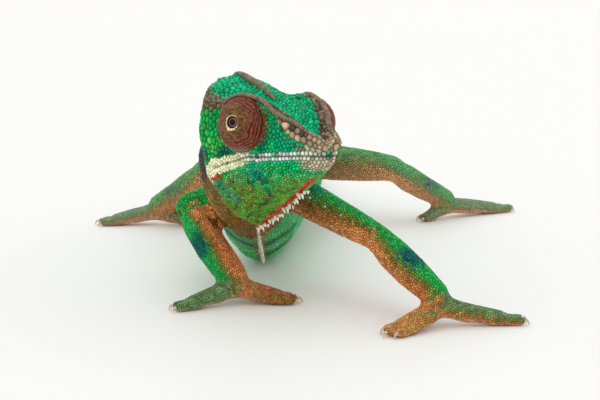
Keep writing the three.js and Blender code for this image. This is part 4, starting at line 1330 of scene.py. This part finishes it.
def spine_row(name, tips, direction, height, radius):
    shape = bmesh.new()
    for number, tip in enumerate(tips):
        sway = Vector((math.sin(number * 1.7), math.cos(number * 2.9), math.sin(number * 4.1))) * 0.16
        way = (Vector(direction).normalized() + sway).normalized()
        size = 0.8 + 0.35 * math.sin(number * 2.4)
        turn = way.to_track_quat("Z", "Y").to_matrix().to_4x4()
        middle_of_cone = tip - way * (height * size * 0.5 - 0.15) * MM
        bmesh.ops.create_cone(
            shape, cap_ends=True, segments=8,
            radius1=radius * MM, radius2=0.12 * MM, depth=height * size * MM,
            matrix=Matrix.Translation(middle_of_cone) @ turn,
        )
    bmesh.ops.recalc_face_normals(shape, faces=shape.faces)
    for face in shape.faces:
        face.smooth = True
    mesh = bpy.data.meshes.new(name)
    shape.to_mesh(mesh)
    shape.free()
    return link_mesh(name, mesh)


down = head_turn @ in_head(0.43, 0, -0.9)
throat_tips = tips_of("jaw", down.normalized(), 0.55)
back_tips = tips_of("trunk", (0, 0, 1), 0.5)
print("spines:", len(throat_tips), "under the throat,", len(back_tips), "on the back")
throat_tips.sort(key=lambda tip: tip.z)
throat_tips = throat_tips[:-1]
between = [(a + b) / 2 - down.normalized() * 0.5 * MM for a, b in zip(throat_tips, throat_tips[1:])]
throat_spines = spine_row("throat_spines", throat_tips + between, down, 1.4, 0.45)
back_spines = spine_row("back_spines", back_tips, (0, 0.15, 1), 2.2, 0.85)


# %% Casque and brow ridges
def rounded(line):
    """A line of stations with its corners cut off twice."""
    stations = np.array(line, dtype=float)
    for _ in range(3):
        near = stations[:-1] * 0.75 + stations[1:] * 0.25
        far = stations[:-1] * 0.25 + stations[1:] * 0.75
        middle_part = np.stack([near, far], 1).reshape(-1, 3)
        stations = np.concatenate([stations[:1], middle_part, stations[-1:]])
    return stations


def ribbed_ridge(name, line, half_width, half_height, pitch, rib, colour=HORN):
    """A tube along a line of head stations, with fine ribs across it, painted darker between the ribs and
    lighter on them as painted shade and highlight.
    """
    stations = rounded(line)
    marks = np.concatenate([[0], np.cumsum(np.linalg.norm(np.diff(stations, axis=0), axis=1))])
    steps = np.arange(0, marks[-1], pitch / 4)
    shape = bmesh.new()
    rib_layer = shape.verts.layers.float.new("rib")
    last = None
    for number, step in enumerate(steps):
        at = [np.interp(step, marks, stations[:, k]) for k in range(3)]
        ahead = [np.interp(min(step + 0.5, marks[-1]), marks, stations[:, k]) for k in range(3)]
        behind = [np.interp(max(step - 0.5, 0), marks, stations[:, k]) for k in range(3)]
        way = (on_head(*ahead) - on_head(*behind)).normalized()
        up = head_turn @ Vector((0, 0, 1))
        across = way.cross(up).normalized()
        up = across.cross(way)
        ends = math.sin(math.pi * min(1, max(0, step / marks[-1]))) ** 0.35
        swell = ends * (1 + rib * math.sin(2 * math.pi * step / pitch))
        frame3 = Matrix((across * half_width * swell, up * half_height * swell, way)).transposed().to_4x4()
        made = bmesh.ops.create_circle(
            shape, segments=12, radius=1 * MM, matrix=Matrix.Translation(on_head(*at)) @ frame3
        )
        ring = list({e for v in made["verts"] for e in v.link_edges})
        for corner in made["verts"]:
            corner[rib_layer] = math.sin(2 * math.pi * step / pitch)
        if last:
            bmesh.ops.bridge_loops(shape, edges=last + ring)
        last = ring
    bmesh.ops.holes_fill(shape, edges=shape.edges, sides=0)
    bmesh.ops.recalc_face_normals(shape, faces=shape.faces)
    for face in shape.faces:
        face.smooth = True
    mesh = bpy.data.meshes.new(name)
    shape.to_mesh(mesh)
    shape.free()
    high = np.empty(len(mesh.vertices), dtype=np.float32)
    mesh.attributes["rib"].data.foreach_get("value", high)
    patchy = np.array([noise.noise(v.co * 900) for v in mesh.vertices])
    # Painted shade and highlight: the colour is darker in the furrows between ribs and lighter on their
    # crests.
    set_colours(mesh, colour * (0.82 + 0.22 * high + 0.5 * patchy)[:, None])
    return link_mesh(name, mesh)


CREST_LINE = [
    (-19, 0, 13.6), (-16.5, 0, 13.7), (-13, 0, 12.7), (-9.5, 0, 11.5), (-6, 0, 10.3),
    (-2.9, 0, 8.8), (-1.4, 0, 7.8),
]
casque_ridge = ribbed_ridge("casque_ridge", CREST_LINE, 0.85, 0.85, 0.6, 0.13)
BROW_LINE = [(f, l, u - 0.1) for f, l, u in BROW[:-1] + BAND_EDGE]
brow_ridges = [
    ribbed_ridge(f"brow_ridge_{side}", [(f, out * l, u) for f, l, u in BROW_LINE], 0.66, 0.5, 0.75, 0.2)
    for side, out in (("right", -1), ("left", 1))
]
stripe_line = []  # the white stripe from throat to chest, laid on the flesh
for station in body_row(WHITE_STRIPE, 2.5):
    at, out_of_skin, _, _ = flesh_tree.find_nearest(on_head(*station))
    stripe_line.append([float(k[0]) for k in head_coordinates(np.array([at + out_of_skin * 0.1 * MM]))])
chest_stripe = ribbed_ridge("chest_stripe", stripe_line, 0.5, 0.45, 1.1, 0.05, colour=WHITE * 0.97)
elapsed("small pieces made")

# %% [markdown]
# ## Finishes
# One node group gives every skin its fine grain: it takes the painted colour, mottles it a little and
# gives a fine wrinkle for the bump. Each finish then sets its own sheen.

# %% The grain of reptile skin
grain = bpy.data.node_groups.new("reptile_grain", "ShaderNodeTree")
for name, kind, way in (
    ("Tone", "NodeSocketColor", "INPUT"),
    ("Grain Size", "NodeSocketFloat", "INPUT"),
    ("Mottle", "NodeSocketFloat", "INPUT"),
    ("Color", "NodeSocketColor", "OUTPUT"),
    ("Roughness", "NodeSocketFloat", "OUTPUT"),
    ("Height", "NodeSocketFloat", "OUTPUT"),
):
    grain.interface.new_socket(name, in_out=way, socket_type=kind)


def node(tree, kind, **settings):
    made = tree.nodes.new(kind)
    for name, value in settings.items():
        setattr(made, name, value)
    return made


inlet = node(grain, "NodeGroupInput")
outlet = node(grain, "NodeGroupOutput")
where = node(grain, "ShaderNodeTexCoord")
cloudy = node(grain, "ShaderNodeTexNoise")
cloudy.inputs["Detail"].default_value = 4
wrinkle = node(grain, "ShaderNodeTexVoronoi")
to_mottle = node(grain, "ShaderNodeMath", operation="MULTIPLY_ADD")
centred = node(grain, "ShaderNodeMath", operation="SUBTRACT")
centred.inputs[1].default_value = 0.5
to_mottle.inputs[2].default_value = 1.0
tinted = node(grain, "ShaderNodeVectorMath", operation="SCALE")
sheen = node(grain, "ShaderNodeMapRange")
sheen.inputs["To Min"].default_value = 0.3
sheen.inputs["To Max"].default_value = 0.55
finer = node(grain, "ShaderNodeMath", operation="MULTIPLY")
finer.inputs[1].default_value = 2.0
for start, end in (
    (where.outputs["Object"], cloudy.inputs["Vector"]),
    (where.outputs["Object"], wrinkle.inputs["Vector"]),
    (inlet.outputs["Grain Size"], cloudy.inputs["Scale"]),
    (inlet.outputs["Grain Size"], finer.inputs[0]),
    (finer.outputs[0], wrinkle.inputs["Scale"]),
    (cloudy.outputs["Fac"], centred.inputs[0]),
    (centred.outputs[0], to_mottle.inputs[0]),
    (inlet.outputs["Mottle"], to_mottle.inputs[1]),
    (inlet.outputs["Tone"], tinted.inputs[0]),
    (to_mottle.outputs[0], tinted.inputs["Scale"]),
    (cloudy.outputs["Fac"], sheen.inputs["Value"]),
    (tinted.outputs["Vector"], outlet.inputs["Color"]),
    (sheen.outputs["Result"], outlet.inputs["Roughness"]),
    (wrinkle.outputs["Distance"], outlet.inputs["Height"]),
):
    grain.links.new(start, end)


def finish(name, grain_size, mottle, bump, specular=0.2, tone=None, coat=0.0):
    """A skin's material. Its colour is the painted one, or one given here."""
    material = bpy.data.materials.new(name)
    material.use_nodes = True
    tree = material.node_tree
    surface = tree.nodes["Principled BSDF"]
    surface.inputs["Specular IOR Level"].default_value = specular
    surface.inputs["Coat Weight"].default_value = coat
    surface.inputs["Coat Roughness"].default_value = 0.05
    texture = node(tree, "ShaderNodeGroup", node_tree=grain)
    texture.inputs["Grain Size"].default_value = grain_size
    texture.inputs["Mottle"].default_value = mottle
    if tone is None:
        painted = node(tree, "ShaderNodeAttribute", attribute_name="tone")
        tree.links.new(painted.outputs["Color"], texture.inputs["Tone"])
    else:
        texture.inputs["Tone"].default_value = (*tone, 1)
    relief = node(tree, "ShaderNodeBump")
    relief.inputs["Strength"].default_value = bump
    relief.inputs["Distance"].default_value = 0.05 * MM
    tree.links.new(texture.outputs["Color"], surface.inputs["Base Color"])
    tree.links.new(texture.outputs["Roughness"], surface.inputs["Roughness"])
    tree.links.new(texture.outputs["Height"], relief.inputs["Height"])
    tree.links.new(relief.outputs["Normal"], surface.inputs["Normal"])
    return material


scale_finish = finish("scale_finish", 1400, 0.5, 0.35, specular=0.08)
skin_finish = finish("skin_finish", 1800, 0.7, 0.5, specular=0.08)
turret_finish = finish("turret_finish", 1500, 1.1, 0.9)
eye_finish = finish("eye_finish", 2500, 0.3, 0.02, specular=0.12, coat=0.2)
claw_finish = finish("claw_finish", 1200, 0.6, 0.25, tone=paint(206, 178, 148))
spine_finish = finish("spine_finish", 1300, 0.5, 0.3, tone=paint(232, 232, 216))
back_spine_finish = finish("back_spine_finish", 1300, 0.5, 0.3, tone=paint(60, 140, 96))
ridge_finish = finish("ridge_finish", 1300, 1.0, 0.5)

# %% Dressing the pieces
SLOT_OF = {"neck": "rust_skin", "fore": "olive_skin", "hind": "olive_skin"}
for name, piece in coats.items():
    piece.data.materials.append(scale_finish)
    SLOT_OF.get(name.split("_")[0], "green_skin")
skin_mesh.materials.append(skin_finish)
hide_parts(*FLESH)
for piece in turrets.values():
    piece.data.materials.append(turret_finish)
for piece in balls.values():
    piece.data.materials.append(eye_finish)
for piece in claws:
    piece.data.materials.append(claw_finish)
for piece, material in (
    (throat_spines, spine_finish), (back_spines, back_spine_finish),
    (casque_ridge, ridge_finish), (chest_stripe, ridge_finish),
    *((ridge, ridge_finish) for ridge in brow_ridges),
):
    piece.data.materials.append(material)
pieces = [skin, *coats.values(), *turrets.values(), *balls.values(), *claws, throat_spines, back_spines]
pieces += [casque_ridge, chest_stripe, *brow_ridges]
for piece in pieces:
    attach(piece, "root")
for polygon in skin_mesh.polygons:
    polygon.use_smooth = True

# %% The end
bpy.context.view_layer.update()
elapsed("done")
